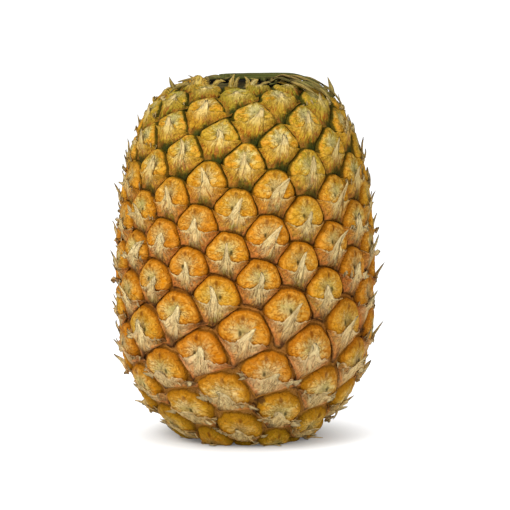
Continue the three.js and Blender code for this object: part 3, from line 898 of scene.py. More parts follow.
@dataclass
class Bracts:
    """The papery bract of every eye, with its pale tongue standing over the dome."""

    spiral: Spiral
    form: EyeForm
    first: int = -103
    last: int = 66
    side_columns: int = 20
    tongue_columns: int = 7
    rows: int = 12
    row_power: float = 0.9
    tongue_lean: float = 0.2
    flank_from: float = 0.7
    lip: float = 0.6
    thin: float = 0.45
    thick: float = 1.5
    stand_off: float = 3.0
    clearance: float = 0.12
    ridge: float = 0.6
    ridge_at: float = 0.8
    ridge_half: float = 0.13
    trough: float = 0.45
    trough_at: float = 0.45
    trough_half: float = 0.2
    flap_half: float = 0.17
    ground_gap: float = 0.12
    cover_gap: float = 0.28
    scraps: int = 6
    scrap_span: tuple[int, int] = (-96, 56)
    scrap_low_span: Pair = (-56, -70)
    scrap_low_share: float = 0.85
    scrap_cuts: tuple[int, int] = (6, 4)
    scrap_length: float = 4.0
    scrap_half: float = 1.5
    scrap_stand: float = 1.6
    scrap_depth: float = 0.4
    scrap_flank: float = 0.8

    def _columns(self) -> Array:
        """The columns' parameter from -1 at the left end to 1 at the right."""
        share = self.form.tongue_share
        side = np.linspace(0, 1, self.side_columns + 1)[1:] ** 0.95
        tongue = np.linspace(0, 1, self.tongue_columns + 1)[1:] ** 1.1 * share
        half = np.concatenate([tongue, share + (1 - share) * side])
        return np.concatenate([-half[::-1], [0.0], half])

    def _tongue_span(self, eye: Eye) -> Pair:
        """Height up the eye of the tongue's foot and of its tip.

        The foot is higher on the low eyes. The tongue is shorter on the low, the high and
        the last eyes.
        """
        form = self.form
        foot = (form.tongue_foot + 0.5 * eye.chance(Trait.FOOT) + 1.6 * eye.low) * eye.size
        tall = (form.tongue_top - form.tongue_foot + 1.8 * eye.chance(Trait.TALL)) * eye.size
        return foot, foot + tall * (1 - 0.4 * eye.high - 0.25 * eye.last) * (1 - 0.3 * eye.low)

    def _tongue(self, eye: Eye, a: Array, half: float) -> tuple[Array, Array]:
        """The tongue's edge, right and up, at columns a.

        At share w down from its tip its half width is W (0.4 (1 - (1 - w)^3)^0.45 + 0.6 w^4).
        Its middle line leans, bends and hooks to one side.

        Args:
            eye: the eye.
            a: columns, -1 to 1.
            half: the half width W at its foot.

        Returns:
            How far right and how far up each column's margin is, in millimetres.
        """
        form, size = self.form, eye.size
        foot, top = self._tongue_span(eye)
        share = form.tongue_share
        w = np.clip(np.abs(a) / share, 0, 1)
        wavy = 0.22 * size * np.sin(13 * a / share + 5 * eye.chance(Trait.TONGUE_EDGE)) * w * (1 - w) * 4
        up = top + (foot - top) * w**1.3 + wavy
        above = np.maximum(0.0, up - foot)
        width = 0.4 * (1 - (1 - w) ** 3) ** 0.45 + 0.6 * w**4
        lean = self.tongue_lean + 0.3 * eye.chance(Trait.LEAN)
        bend = 0.075 * eye.chance(Trait.BEND)
        hook = 1.1 * size * eye.chance(Trait.HOOK)
        right = form.aside(eye) + np.sign(a) * half * width + lean * above + bend * above**2 / size
        return right + hook * np.sin(np.pi * np.clip(above / max(top - foot, 1e-6), 0, 1)), up

    def _flat(self, eye: Eye, a: Array, b: Array) -> tuple[Array, Array]:
        """The bract spread flat.

        Each column is a straight line from the free margin to the foot along the lower
        walls. The margin hangs from the ends of the bract to the tongue's foot, ragged, and
        raised and more ragged on the low eyes; there it turns up along the tongue.

        Args:
            eye: the eye.
            a: columns, -1 to 1.
            b: rows, 0 at the margin to 1 at the foot.

        Returns:
            Points of the eye's plane, and how far up the tongue each one is from 0 to 1.
        """
        form, size, low = self.form, eye.size, eye.low
        share = form.tongue_share
        foot, top = self._tongue_span(eye)
        flank = max(0.0, eye.flank - self.flank_from) / 0.3
        broad = 1 + 0.25 * eye.high + 0.3 * low + 0.35 * flank
        half = form.tongue_half * size * (1 + 0.2 * eye.chance(Trait.WIDE)) * broad
        end, level = form.end_beside(eye, a < 0)
        q = np.clip((np.abs(a) - share) / (1 - share), 0, 1)
        ragged = (
            0.34 * np.sin(11 * a + 9 * eye.chance(Trait.RAG_BROAD))
            + 0.2 * np.sin(29 * a + 7 * eye.chance(Trait.RAG_MIDDLE))
            + 0.12 * np.sin(53 * a + 5 * eye.chance(Trait.RAG_FINE))
        ) * (1 + 1.6 * low)
        raised = 1.5 * low * size * np.sin(np.pi * q)
        drape_y = form.hang(eye, level, foot, q) + raised + ragged * size * np.sin(np.pi * q) ** 0.7
        root_x = form.aside(eye) + np.sign(a) * half
        drape_x = root_x + (end - root_x) * q
        tongue_x, tongue_y = self._tongue(eye, a, half)
        on_tongue = np.abs(a) <= share
        margin_x, margin_y = np.where(on_tongue, tongue_x, drape_x), np.where(on_tongue, tongue_y, drape_y)
        margin = np.stack([margin_x, margin_y], axis=-1)
        left, right = form.directions(eye)
        base = form.foot(eye, left + (right - left) * (a + 1) / 2)
        spot = margin[:, None, :] * (1 - b[None, :, None]) + base[:, None, :] * b[None, :, None]
        up = np.clip((spot[..., 1] - foot) / max(top - foot, 1e-6), 0, 1)
        return spot, np.where(on_tongue[:, None], up, 0.0)

    def _heights(
        self, eye: Eye, a: Array, b: Array, spot: Array, up: Array,
    ) -> tuple[Array, Array]:
        """Heights of the bract's outer and inner face above the groove.

        Outside, the bract follows the higher of the dome and its own body, stands off by a
        lip along the free margin, which is wider on the low eyes, curls out in one flap,
        curves away up the tongue, dips halfway down, swells along both flanks of its foot
        and sinks in at the end, with ribs along the columns. Above its foot it stays clear
        of the rind. Inside, it is thin at the margin and deep in the bed.

        Args:
            eye: the eye.
            a: columns, -1 to 1.
            b: rows, 0 at the margin to 1 at the foot.
            spot: points of the eye's plane.
            up: how far up the tongue each one is.

        Returns:
            The outer heights and the inner ones.
        """
        form, size, high = self.form, eye.size, eye.high
        flat = spot.reshape(-1, 2)
        dome, body, rind = (part(eye, flat).reshape(up.shape) for part in (form.dome, form.cover, form.rind))
        rows = np.broadcast_to(b[None, :], up.shape)
        column = a[:, None]
        ends = 1 - np.abs(column) ** 8
        over = body + np.maximum(0.0, dome - body) * (1 - smoothstep(0.25, 0.6, rows))
        lip = self.lip + 0.35 * eye.chance(Trait.LIP) + 0.5 * eye.low
        lip = lip * (1 - rows) ** 3 * ends * (1 - 0.6 * high)
        flap_at = 0.62 * np.sign(eye.chance(Trait.FLAP_SIDE)) + 0.16 * eye.chance(Trait.FLAP_PLACE)
        flap = 1.1 * (1 + eye.chance(Trait.FLAP_SIZE)) * bell((column - flap_at) / self.flap_half)
        flap = flap * (1 - rows) ** 2
        power = 1.2 + 0.3 * eye.chance(Trait.STAND_CURVE)
        stand = (self.stand_off * (1 + 0.5 * eye.chance(Trait.STAND))) * up**power
        stand = stand * (1 - 0.8 * eye.last)
        share = form.tongue_share
        curl = 0.7 * (column / share) ** 2 * (np.abs(column) < share) * up
        ribs = (
            0.17 * np.cos(2 * np.pi * (6 * column + eye.chance(Trait.RIB_BROAD)))
            + 0.13 * np.cos(2 * np.pi * (9.3 * column + eye.chance(Trait.RIB_FINE)))
        ) * np.sin(np.pi * np.clip(rows, 0, 1)) ** 0.7 * ends
        flanks = smoothstep(0.2, 0.5, np.abs(column)) * ends * (1 - 0.5 * high)
        ridge = self.ridge * bell((rows - self.ridge_at) / self.ridge_half) * flanks
        dip = self.trough * bell((rows - self.trough_at) / self.trough_half)
        trough = dip * (1 - up) * ends * (1 - 0.5 * high)
        sink = 0.5 * smoothstep(0.9, 1.0, rows)
        outer = over + self.clearance + (lip + flap + stand + curl + ridge - trough) * size + ribs - sink
        covered = rind + self.cover_gap
        outer = outer + np.maximum(0.0, covered - outer) * smoothstep(0.95, 0.8, rows) * ends
        depth = self.thin + (self.thick - self.thin) * smoothstep(0.15, 0.6, rows) * (1 - up)
        return outer, outer - depth

    def _add_sheets(
        self, eye: Eye, spot: Array, heights: tuple[Array, Array], layer: float,
        faces: Array, uv: Array, up: Array, into: Surface,
    ) -> None:
        """Adds thin sheets whose outer and inner face meet round the rim.

        Near the ground no point lies lower than its layer times the gap, and the inner
        face lies one layer above the outer, so that nothing there is in one plane.

        Args:
            eye: the eye.
            spot: points of the eye's plane, the last two axes a sheet's grid.
            heights: the outer and the inner heights above the groove.
            layer: the outer face's layer.
            faces: the outer face's faces.
            uv: the UV map, one row of three numbers a point.
            up: how far up a tongue each point is.
            into: what the sheets are added to.
        """
        outer, inner = heights
        rim = np.zeros(outer.shape, bool)
        rim[..., [0, -1], :] = True
        rim[..., [0, -1]] = True
        inner = np.where(rim, outer, inner)
        flat = spot.reshape(-1, 2)
        both = np.concatenate([eye.place(flat, outer.ravel()), eye.place(flat, inner.ravel())])
        layers = np.concatenate([np.full(outer.size, layer), np.where(rim.ravel(), layer, layer + 1)])
        both[:, 2] = np.maximum(both[:, 2], layers * self.ground_gap)
        fold = np.column_stack([flat / eye.size, up.ravel()])
        into.add_sheet(both, two_sides(faces, outer.size), UVMap=uv, fold=fold, eye=eye_mark(eye, flat))

    def _sheet(self, eye: Eye, a: Array, b: Array, into: Surface) -> None:
        """Adds one bract."""
        spot, up = self._flat(eye, a, b)
        heights = self._heights(eye, a, b, spot, up)
        u, v = (part.ravel() for part in np.broadcast_arrays((a[:, None] + 1) / 2, b[None, :]))
        uv = np.column_stack([u, v, np.zeros(len(u))])
        faces = quads(np.arange(up.size).reshape(up.shape))
        self._add_sheets(eye, spot, heights, 1.0, faces, uv, up, into)

    def _scraps(self, eye: Eye, into: Surface) -> None:
        """Adds the torn scraps that stand off one bract's margin, each a thin pointed sheet.

        A scrap runs from the margin outwards in the eye's plane while it rises from the
        skin and curls back at its end, by L (1.5 t^1.3 - 0.5 t^4); its half width is
        W (1 - t)^0.75 with a wave along both edges. They are left on the flanks of the
        fruit and all round low down, and rubbed off elsewhere.

        Args:
            eye: the eye.
            into: what the scraps are added to.
        """
        form, size = self.form, eye.size
        low = eye.share(*self.scrap_low_span)
        if max(eye.flank, low) < self.scrap_flank:
            return
        left = max(eye.flank, self.scrap_low_share * low)
        k = np.arange(self.scraps)
        chance = np.array([[varied(eye.index + 0.37 * n, Trait.SCRAP + m) for m in range(6)] for n in k])
        side = np.where(k % 2 == 0, -1.0, 1.0)
        ends = np.abs(form.ends(eye)[:, 0]) / form.foot_share
        span = np.where(side < 0, ends[0], ends[1])
        x = side * span * (0.64 + 0.3 * chance[:, 0])
        root = np.stack([x, form.margin_line(eye, x) - 0.5 * size], axis=-1)
        ground = np.maximum(form.dome(eye, root), form.cover(eye, root))
        angle = np.radians(90 - side * (48 + 42 * chance[:, 1]))
        way = np.stack([np.cos(angle), np.sin(angle)], axis=-1)
        across = np.stack([-way[:, 1], way[:, 0]], axis=-1)
        length = self.scrap_length * size * (1 + 0.45 * chance[:, 2]) * (1 - 0.35 * eye.high) * left
        half = self.scrap_half * size * (1 + 0.4 * chance[:, 3])
        stand = self.scrap_stand * (1 + 0.7 * chance[:, 4]) * (1 - 0.5 * eye.high)
        ground, turn, length, half, stand, side = (
            part[:, None, None] for part in (ground, chance[:, 5], length, half, stand, side)
        )
        along_cuts, across_cuts = self.scrap_cuts
        t = np.linspace(0, 1, along_cuts + 1)[None, :, None]
        u = np.linspace(-1, 1, across_cuts + 1)[None, None, :]
        wide = half * (1 - t) ** 0.75 * (1 + 0.2 * np.sin(9 * t + 6 * turn))
        along = length * t + 0 * u
        aside = wide * u + 0.7 * turn * length * t**2
        spot = (
            root[:, None, None] + along[..., None] * way[:, None, None]
            + aside[..., None] * across[:, None, None]
        )
        outer = ground + 0.25 + stand * (1.5 * t**1.3 - 0.5 * t**4) + 0.6 * u**2 * (1 - 0.6 * t)
        inner = outer - self.scrap_depth * (1 - 0.5 * t)
        uv = np.stack(np.broadcast_arrays(0.5 + 0.08 * u + 0.4 * side, 0.12 + 0.4 * t, 0.0), axis=-1)
        up = np.broadcast_to(0.08 + 0.9 * t**2, outer.shape)
        faces = quads(np.arange(outer.size).reshape(outer.shape), turned=True)
        self._add_sheets(eye, spot, (outer, inner), 1.5, faces, uv.reshape(-1, 3), up, into)

    def build(self, shift: Array) -> list[bpy.types.Object]:
        """Makes the bracts of the three bands.

        Args:
            shift: from the fruit's axis to the row's origin, in millimetres.

        Returns:
            The three pieces.
        """
        a = self._columns()
        b = np.linspace(0, 1, self.rows + 1) ** self.row_power
        first, last = self.scrap_span
        pieces = []
        for band, run in bands(self.first, self.last).items():
            surface = Surface()
            for index in run:
                eye = Eye(index, self.spiral)
                self._sheet(eye, a, b, surface)
                if first <= index <= last:
                    self._scraps(eye, surface)
            pieces.append(make_piece(f"bracts_{band}", *surface.weld(), shift))
        return pieces


# ---- The cut crown


@dataclass
class Leaf:
    """A blade given by its middle line, its width and its thickness."""

    middle: Array
    side: Array
    out: Array
    half: Array
    thick: Array
    cup: Array
    number: int
    dryness: float
    shaded_reach: float

    def add_to(self, into: Surface, across: int, flat_end: bool = False) -> None:
        """Adds the blade: two faces over a grid of u across and t along.

        A point is middle + u half side + out (s thick (1 - u^2)^0.7 / 2 - cup u^2), with s
        1 on the outer face and -1 on the inner. Shallow ribs run along it.

        Args:
            into: what the blade is added to.
            across: cuts across the blade.
            flat_end: whether the last row is cut off flat.
        """
        rows = len(self.middle)
        u = np.sin(np.linspace(-1, 1, across + 1) * np.pi / 2)
        body = (1 - u**2) ** 0.7
        ribs = 0.07 * np.cos(2 * np.pi * (3.5 * u + 0.3 * self.number)) * body
        flat = self.middle[:, None] + self.side[:, None] * (u[None] * self.half[:, None])[..., None]
        thick, cup = self.thick[:, None], self.cup[:, None] * u[None] ** 2
        outer, inner = (
            flat + self.out[:, None] * (way * thick * body[None] / 2 + way * ribs[None] - cup)[..., None]
            for way in (1.0, -1.0)
        )
        inner[:, [0, -1]] = outer[:, [0, -1]]
        if not flat_end:
            inner[-1] = outer[-1]
        both = np.concatenate([outer.reshape(-1, 3), inner.reshape(-1, 3)])
        total = rows * (across + 1)
        number = np.arange(total).reshape(rows, -1)
        ends = []
        for line in number[[0, -1] if flat_end else [0]]:
            cap = np.column_stack([line[:-1], line[:-1] + total, line[1:] + total, line[1:]])
            ends.append(cap[:, ::-1] if len(ends) else cap)
        faces = two_sides(quads(number), total, *ends)
        if signed_volume(both, faces) < 0:
            faces = faces[:, ::-1]
        t = np.repeat(np.linspace(0, 1, rows), across + 1)
        uv = np.column_stack([np.tile((u + 1) / 2, rows), t, np.zeros(total)])
        tone = 0.5 + 0.5 * varied(self.number, Trait.LEAF_TONE)
        # the third value blackens the blade up to its shaded reach: painted shade in the crown's hollow
        mark = np.column_stack([
            np.full(total, tone), np.full(total, self.dryness), np.clip((self.shaded_reach - t) / 0.2 + 0.5, 0, 1),
        ])
        into.add_sheet(both, faces, UVMap=uv, eye=mark)


def signed_volume(points: Array, faces: Array) -> float:
    """Six times the volume inside closed faces: positive where they point outwards."""
    a, b, c, d = (points[faces[:, k]] for k in range(4))
    first = np.einsum("ij,ij->i", a, np.cross(b, c)).sum()
    return float(first + np.einsum("ij,ij->i", a, np.cross(c, d)).sum())


def unit(vector: Array) -> Array:
    """Rows scaled to length 1."""
    return vector / np.maximum(np.linalg.norm(vector, axis=-1, keepdims=True), 1e-9)


def smooth_path(points: Array, count: int) -> Array:
    """A Catmull-Rom curve through rows of numbers, at evenly spaced parameters."""
    padded = np.concatenate([2 * points[:1] - points[1:2], points, 2 * points[-1:] - points[-2:-1]])
    at = np.linspace(0, len(points) - 1, count)
    n = np.minimum(at.astype(int), len(points) - 2)
    t = (at - n)[:, None]
    p0, p1, p2, p3 = (padded[n + k] for k in range(4))
    bend = 2 * p0 - 5 * p1 + 4 * p2 - p3
    return 0.5 * (2 * p1 + (p2 - p0) * t + bend * t**2 + (3 * p1 - p0 - 3 * p2 + p3) * t**3)


@dataclass
class Crown:
    """What is left of the crown: cut leaf bases in the hollow and dried leaves over the rim."""

    rind: Rind
    gap: float = 0.35
    cut_height: float = 181.6
    stump_height: float = 180.2
    leaf_count: int = 44
    leaf_turn: float = 137.5
    inner_radius: float = 2.5
    outer_radius: float = 22.6
    front_drop: float = 4.6
    torn_side: float = math.radians(35)
    point: float = 0.05
    laid: tuple[tuple, ...] = (
        # azimuth of the face, its tilt from up, dryness, thickness; rows of right, back, up, half width
        (5, 48, 0.1, 1.3, ((-9, 6, 179.2, 1.2), (-3, 6, 181.6, 1.6), (8, 5, 181.9, 1.9),
            (17, 4, 182.1, 1.9), (23, 2, 182.4, 1.4), (28, 1, 181.3, 1.5), (33, 0, 179.4, 1.4),
            (37, -1, 177.3, 1), (39.2, -2, 175.8, 0.05))),
        (60, 35, 0.95, 1, ((14, 4, 180.5, 1), (18.5, 0, 182.3, 1.8), (22.5, -8, 182.4, 1.7),
            (26, -14, 181.8, 1.3), (28, -18.5, 181.1, 0.05))),
        (50, 35, 0.45, 1, ((12, -4, 179.5, 1), (16.6, -8, 181.8, 1.4), (20, -14, 181.8, 1.3),
            (23.5, -20, 180.6, 0.05))),
        (62, 40, 0.6, 1.1, ((22, -10, 180.6, 1.2), (26, -18, 181.2, 1.9), (30, -20, 179.8, 1.7),
            (34, -20, 177.8, 0.05))),
        (75, 40, 0.8, 1.1, ((20, 2, 181.6, 1.2), (26, -4, 182.2, 1.9), (31, -8, 180.8, 1.8),
            (36, -10, 178.8, 1.2), (39, -11, 177.1, 0.05))),
        (95, 45, 0.5, 1.1, ((24, 4, 181.2, 1.2), (31, 4, 180.9, 2), (36, 3, 179, 1.6),
            (41, 2, 176.2, 0.05))),
        (35, 80, 0.7, 0.9, ((43.4, -3, 171.8, 1.9), (43.2, -3, 175.5, 1.6), (42, -3, 179.2, 0.8),
            (40.9, -3, 182, 0.05))),
        (-30, 80, 0.8, 0.9, ((-35, -6, 175.5, 1.6), (-37, -7, 179, 1.1), (-38, -7.5, 182.4, 0.05))),
        (125, 40, 0.6, 1.2, ((16, 11, 179.5, 1.2), (21, 15, 181, 2.4), (27, 19, 179.6, 2.2),
            (32, 23, 177, 0.05))),
        (165, 40, 0.9, 1.1, ((5, 19, 178.4, 1.2), (6, 25, 179.9, 2.2), (8, 31, 178.6, 1.8),
            (10, 36, 176.6, 0.05))),
        (-145, 40, 0.4, 1.2, ((-10, 15, 178, 1.2), (-14, 21, 179.8, 2.4), (-19, 27, 178.6, 2),
            (-23, 31, 176.6, 0.05))),
        (-105, 30, 0.8, 1.1, ((-18, 4, 178.6, 1), (-24, 5, 180.4, 1.8), (-30, 6, 179.4, 1.4),
            (-34, 8, 178.2, 0.05))),
        (-24, 78, 1.5, 1.3, ((-23.4, -13, 175, 4.6), (-23.4, -13.2, 179, 5.6), (-23.2, -12.8, 181.4, 5.2),
            (-22.8, -12.4, 182.8, 3.4), (-22.4, -12.2, 183.6, 0.05))),
        (-12, 60, 1.2, 1, ((-17, -17, 177.5, 1), (-14.6, -18.4, 180.6, 1.4), (-12.2, -19, 181.6, 0.9),
            (-9.8, -19.4, 181.2, 0.05))),
        (-8, 80, 1.3, 1, ((-6.8, -19.6, 176, 1.4), (-7.2, -19.8, 179.5, 1.5), (-6.6, -20, 182.2, 1.1),
            (-5.4, -20.3, 185.3, 0.05))),
        (-4, 80, 1.1, 1, ((-4.6, -19.8, 176, 1.3), (-4.8, -19.8, 179.6, 1.2), (-4.2, -20, 182, 0.9),
            (-2.6, -20.2, 184, 0.05))),
        (2, 80, 1.4, 1, ((0.6, -20, 176, 1.3), (1.2, -20, 179.6, 1.3), (1, -20.2, 182, 0.9),
            (-0.6, -20.4, 184.2, 0.05))),
        (6, 75, 1.2, 1.1, ((3.4, -20, 176, 1.6), (3.8, -20, 179, 2), (4.6, -20.2, 181.2, 1.6),
            (6.6, -20.4, 182.6, 0.05))),
        (10, 60, 0.9, 1, ((7.4, -19.6, 177, 1), (8.6, -19.8, 179.8, 1.1), (10.4, -19.8, 180.8, 0.7),
            (12.6, -19.6, 180.9, 0.05))),
        (48, 50, 0.5, 1, ((26, -18, 181.2, 0.8), (31, -19, 180.4, 1.2), (36, -17, 177.6, 1.1),
            (40, -13, 173.6, 0.05))),
        (60, 50, 0.35, 1, ((30, -14, 181, 0.8), (35, -13, 179.4, 1.3), (40, -11, 176, 1.1),
            (43.6, -9, 172, 0.05))),
        (42, 50, 0.8, 0.9, ((22, -22, 181.6, 0.6), (27, -23, 180.2, 1), (32, -24, 177.4, 0.9),
            (36, -22, 174, 0.05))),
        (80, 55, 0.6, 0.9, ((38, -6, 178.6, 0.8), (42, -5, 176, 1.2), (45.4, -4, 172.4, 1),
            (47.6, -3, 168.4, 0.05))),
        (30, 55, 0.7, 0.9, ((35, -14, 177.6, 0.6), (38, -16, 176.6, 1), (41, -16, 173.6, 0.8),
            (43, -14, 170, 0.05))),
        (-70, 50, 0.6, 0.9, ((-28, -12, 180.4, 0.6), (-32, -12, 179, 1), (-36, -12, 176.6, 0.8),
            (-38.6, -12, 173.4, 0.05))),
    )
    collar: tuple[tuple[float, ...], ...] = (
        # azimuth, half width, top, lean outwards, dryness
        (-88, 3, 182.4, 0.7, 0.9), (24, 3, 180.4, 0.5, 0.3), (104, 4, 181, 0.4, 0.7),
        (150, 5, 180.6, 0.3, 0.9), (184, 4, 179.8, 0.5, 0.5), (232, 5.2, 180.4, 0.4, 0.9),
        (285, 4.6, 181, 0.5, 0.6),
    )

    def _wall(self, height: Array) -> Array:
        """Radius of the hollow at a height, less the gap."""
        rind = self.rind
        return rind.crown_floor_radius + (height - rind.crown_floor) * rind.crown_flare - self.gap

    def _base(self, n: int) -> Leaf:
        """One leaf base: an upright blade bent round the axis, cut off flat at the top.

        The outer ones at the front were torn out lower down.

        Args:
            n: its number.

        Returns:
            The blade.
        """
        share = (n + 0.5) / self.leaf_count
        azimuth = math.radians(self.leaf_turn * n + 10 * varied(n, Trait.LEAF_TURN))
        radius = self.inner_radius + (self.outer_radius - self.inner_radius) * share**0.5
        half = 3.0 + 7.5 * share
        t = np.linspace(0, 1, 7)
        bottom = self.rind.crown_floor + self.gap + 0.4
        torn = float(smoothstep(-0.35, 0.25, math.cos(azimuth + self.torn_side) * share**0.5))
        drop = self.front_drop * torn
        top = self.cut_height - 0.5 * share - 0.35 * (1 + varied(n, Trait.LEAF_TOP)) - drop
        level = bottom + (top - bottom) * t
        thick = 2.5 - 0.4 * t
        cup = half**2 * 0.5 / max(radius, 6.0) * np.ones_like(t)
        at = radius - 1.2 + (0.1 + 0.36 * share) * (level - bottom)
        at = np.minimum(at, self._wall(level) - thick / 2 - 0.1)
        way = np.array([math.sin(azimuth), -math.cos(azimuth), 0.0])
        middle = way[None] * at[:, None] + UP[None] * level[:, None]
        side = np.broadcast_to(np.array([math.cos(azimuth), math.sin(azimuth), 0.0]), middle.shape)
        out = np.broadcast_to(way, middle.shape)
        dryness = 0.15 + 0.2 * (1 + varied(n, Trait.LEAF_DRYNESS))
        # bases are painted black as shadow over their lower part, the torn front ones all over
        return Leaf(middle, side, out, half * (1 - 0.1 * t), thick, cup, n, dryness, 0.75 + 0.5 * torn)

    def _laid(self, n: int, spec: tuple) -> Leaf:
        """One dried leaf along a smooth path, over the cut or over the rim of the shoulder.

        A leaf drier than 1 is torn, with ragged edges.

        Args:
            n: its number.
            spec: its row of the table.

        Returns:
            The blade.
        """
        azimuth, tilt, dryness, thick, rows = spec
        path = smooth_path(np.array(rows, float), 9 * len(rows))
        middle, half = path[:, :3], np.maximum(path[:, 3], self.point)
        along = unit(np.gradient(middle, axis=0))
        turn, lean = math.radians(azimuth), math.radians(tilt)
        face = np.array([math.sin(turn) * math.sin(lean), -math.cos(turn) * math.sin(lean), math.cos(lean)])
        side = unit(np.cross(np.broadcast_to(face, along.shape), along))
        t = np.linspace(0, 1, len(half))
        ragged = float(dryness > 1) * (0.1 * np.sin(17 * t + 3 * n) + 0.1 * np.sin(47 * t + 5 * n))
        half = half * (1 + ragged)
        fading = np.full(len(half), thick) * (0.4 + 0.6 * half / half.max())
        return Leaf(middle, side, np.cross(along, side), half, fading, half * 0.3, 200 + n, dryness, 0.05)

    def _scale(self, n: int, spec: tuple[float, ...]) -> Leaf:
        """One torn scale that stands up from the rim of the hollow, pointed and a little twisted.

        Args:
            n: its number.
            spec: its row of the table.

        Returns:
            The blade.
        """
        degrees, wide, top, lean, dryness = spec
        t = np.linspace(0, 1, 13)
        azimuth = np.radians(degrees + 6 * varied(n, Trait.SCALE_TURN) * t)
        bottom = self.rind.crown_floor + 1.6
        level = bottom + (top - bottom) * t
        far = self._wall(level) - 1.6 + lean * (level - bottom) * (0.4 + 0.6 * t)
        way = np.column_stack([np.sin(azimuth), -np.cos(azimuth), np.zeros(len(t))])
        middle = way * far[:, None] + UP[None] * level[:, None]
        side = np.column_stack([np.cos(azimuth), np.sin(azimuth), 0.25 * varied(n, Trait.SCALE_TWIST) * t])
        half = wide * (1 - t**4.5) * (1 - 0.1 * np.cos(14 * t + n))
        half[-1] = self.point
        return Leaf(middle, unit(side), way, half, 1.5 - 0.9 * t, half**2 / 50, 240 + n, dryness, 0.3)

    def _stump(self, into: Surface) -> None:
        """Adds the stump: a turned body whose radius falls from the hollow's wall to the axis."""
        floor, top = self.rind.crown_floor + self.gap, self.stump_height
        profile = np.array([
            [0.0, floor], [20.4, floor], [20.6, floor + 0.5], [20.2, floor + 2.0], [18.0, floor + 2.6],
            [6.5, floor + 3.0], [5.2, top - 1.0], [4.2, top - 0.2], [0.0, top],
        ])
        add_turned(into, profile, 48, number=99)

    def build(self, shift: Array) -> bpy.types.Object:
        """Makes the leaf bases, the stump, the dried leaves and the torn scales as one piece.

        Args:
            shift: from the fruit's axis to the row's origin, in millimetres.

        Returns:
            The piece.
        """
        surface = Surface()
        self._stump(surface)
        for n in range(self.leaf_count):
            self._base(n).add_to(surface, across=12, flat_end=True)
        for make, specs in ((self._laid, self.laid), (self._scale, self.collar)):
            for n, spec in enumerate(specs):
                make(n, spec).add_to(surface, across=14)
        return make_piece("crown_leaves", *surface.weld(), shift)


def add_turned(into: Surface, profile: Array, sides: int, number: int) -> None:
    """Adds a turned body: its profile of radius and height swept once round the axis.

    Args:
        into: what it is added to.
        profile: rows of radius and height, from the axis below to the axis above.
        sides: flats round the body.
        number: which of the piece's parts it is.
    """
    angle = np.linspace(0, 2 * np.pi, sides, endpoint=False)
    ring = np.stack([np.sin(angle), -np.cos(angle)], axis=-1)
    levels = np.broadcast_to(profile[:, None, 1:], (len(profile), sides, 1))
    points = np.concatenate([ring[None] * profile[:, None, :1], levels], axis=-1)
    grid = np.arange(len(profile) * sides).reshape(len(profile), sides)
    t = np.repeat(np.linspace(0, 1, len(profile)), sides)
    u = np.tile(np.linspace(0, 1, sides), len(profile))
    tone = 0.5 + 0.5 * varied(number, Trait.STUMP)
    # the third value, read by the crown's finish, blackens the stump towards its top as painted shade
    mark = np.column_stack([np.full(len(t), 0.5), np.full(len(t), tone), t])
    faces = quads(np.column_stack([grid, grid[:, :1]]))
    into.add(points.reshape(-1, 3), faces, UVMap=np.column_stack([u, t, t]), eye=mark)


@dataclass
class Stalk:
    """The cut end of the fruit's stalk, in its socket underneath."""

    radius: float = 10.5
    recess: float = 1.2
    depth: float = 8.6

    def build(self, shift: Array) -> bpy.types.Object:
        """Makes the stalk: a turned plug with rings and a bark edge.

        Args:
            shift: from the fruit's axis to the row's origin, in millimetres.

        Returns:
            The piece.
        """
        share = np.linspace(0, 1, 15)
        far = self.radius * share
        level = self.recess + 0.1 * np.cos(share * 26) * share + 0.5 * (1 - smoothstep(0.0, 0.25, share))
        end = np.column_stack([far[:-1], level[:-1]])
        wall = np.array([
            [self.radius - 0.35, self.recess + 0.15], [self.radius, self.recess + 0.7],
            [self.radius - 0.1, 4.0], [self.radius - 0.3, self.depth], [0.0, self.depth],
        ])
        surface = Surface()
        add_turned(surface, np.concatenate([end, wall]), 72, number=7)
        return make_piece("stalk_end", *surface.weld(), shift)


# ---- Shader nodes


Stops = tuple[tuple[float, float, float, float], ...]


def paint(red: float, green: float, blue: float) -> tuple[float, float, float, float]:
    """A screen colour from 0 to 255 as linear light, opaque."""
    parts = [value / 255 for value in (red, green, blue)]
    linear = [p / 12.92 if p <= 0.04045 else ((p + 0.055) / 1.055) ** 2.4 for p in parts]
    return (*linear, 1.0)


def worked(operation: str, turned: bool = False) -> Callable[..., Wire]:
    """A method of a wire that makes a Math node, with its two values turned round if asked."""

    def method(wire: Wire, other: Value = 0.0) -> Wire:
        """The node's result."""
        return wire.nodes.math(operation, *((other, wire) if turned else (wire, other)))

    return method


@dataclass(frozen=True)
class Wire:
    """A node's output, written as a number: what is worked out with it makes new nodes."""

    nodes: Nodes
    socket: bpy.types.NodeSocket

    __add__, __radd__ = worked("ADD"), worked("ADD", turned=True)
    __sub__, __rsub__ = worked("SUBTRACT"), worked("SUBTRACT", turned=True)
    __mul__, __truediv__, __abs__ = worked("MULTIPLY"), worked("DIVIDE"), worked("ABSOLUTE")

    def swing(self, size: float) -> Wire:
        """A value from 0 to 1 turned into one from -size/2 to size/2."""
        return self.nodes.math("MULTIPLY_ADD", self, size, -size / 2)

    def step(self, low: float, high: float) -> Wire:
        """A smooth rise from 0 at low to 1 at high."""
        ends = {"Value": self, "From Min": low, "From Max": high}
        return self.nodes.out("ShaderNodeMapRange", ends, "Result", interpolation_type="SMOOTHSTEP")

    def fall(self, low: float, high: float) -> Wire:
        """A smooth fall from 1 at low to 0 at high."""
        return 1 - self.step(low, high)


Value = Wire | float
Colour = Wire | tuple[float, ...]


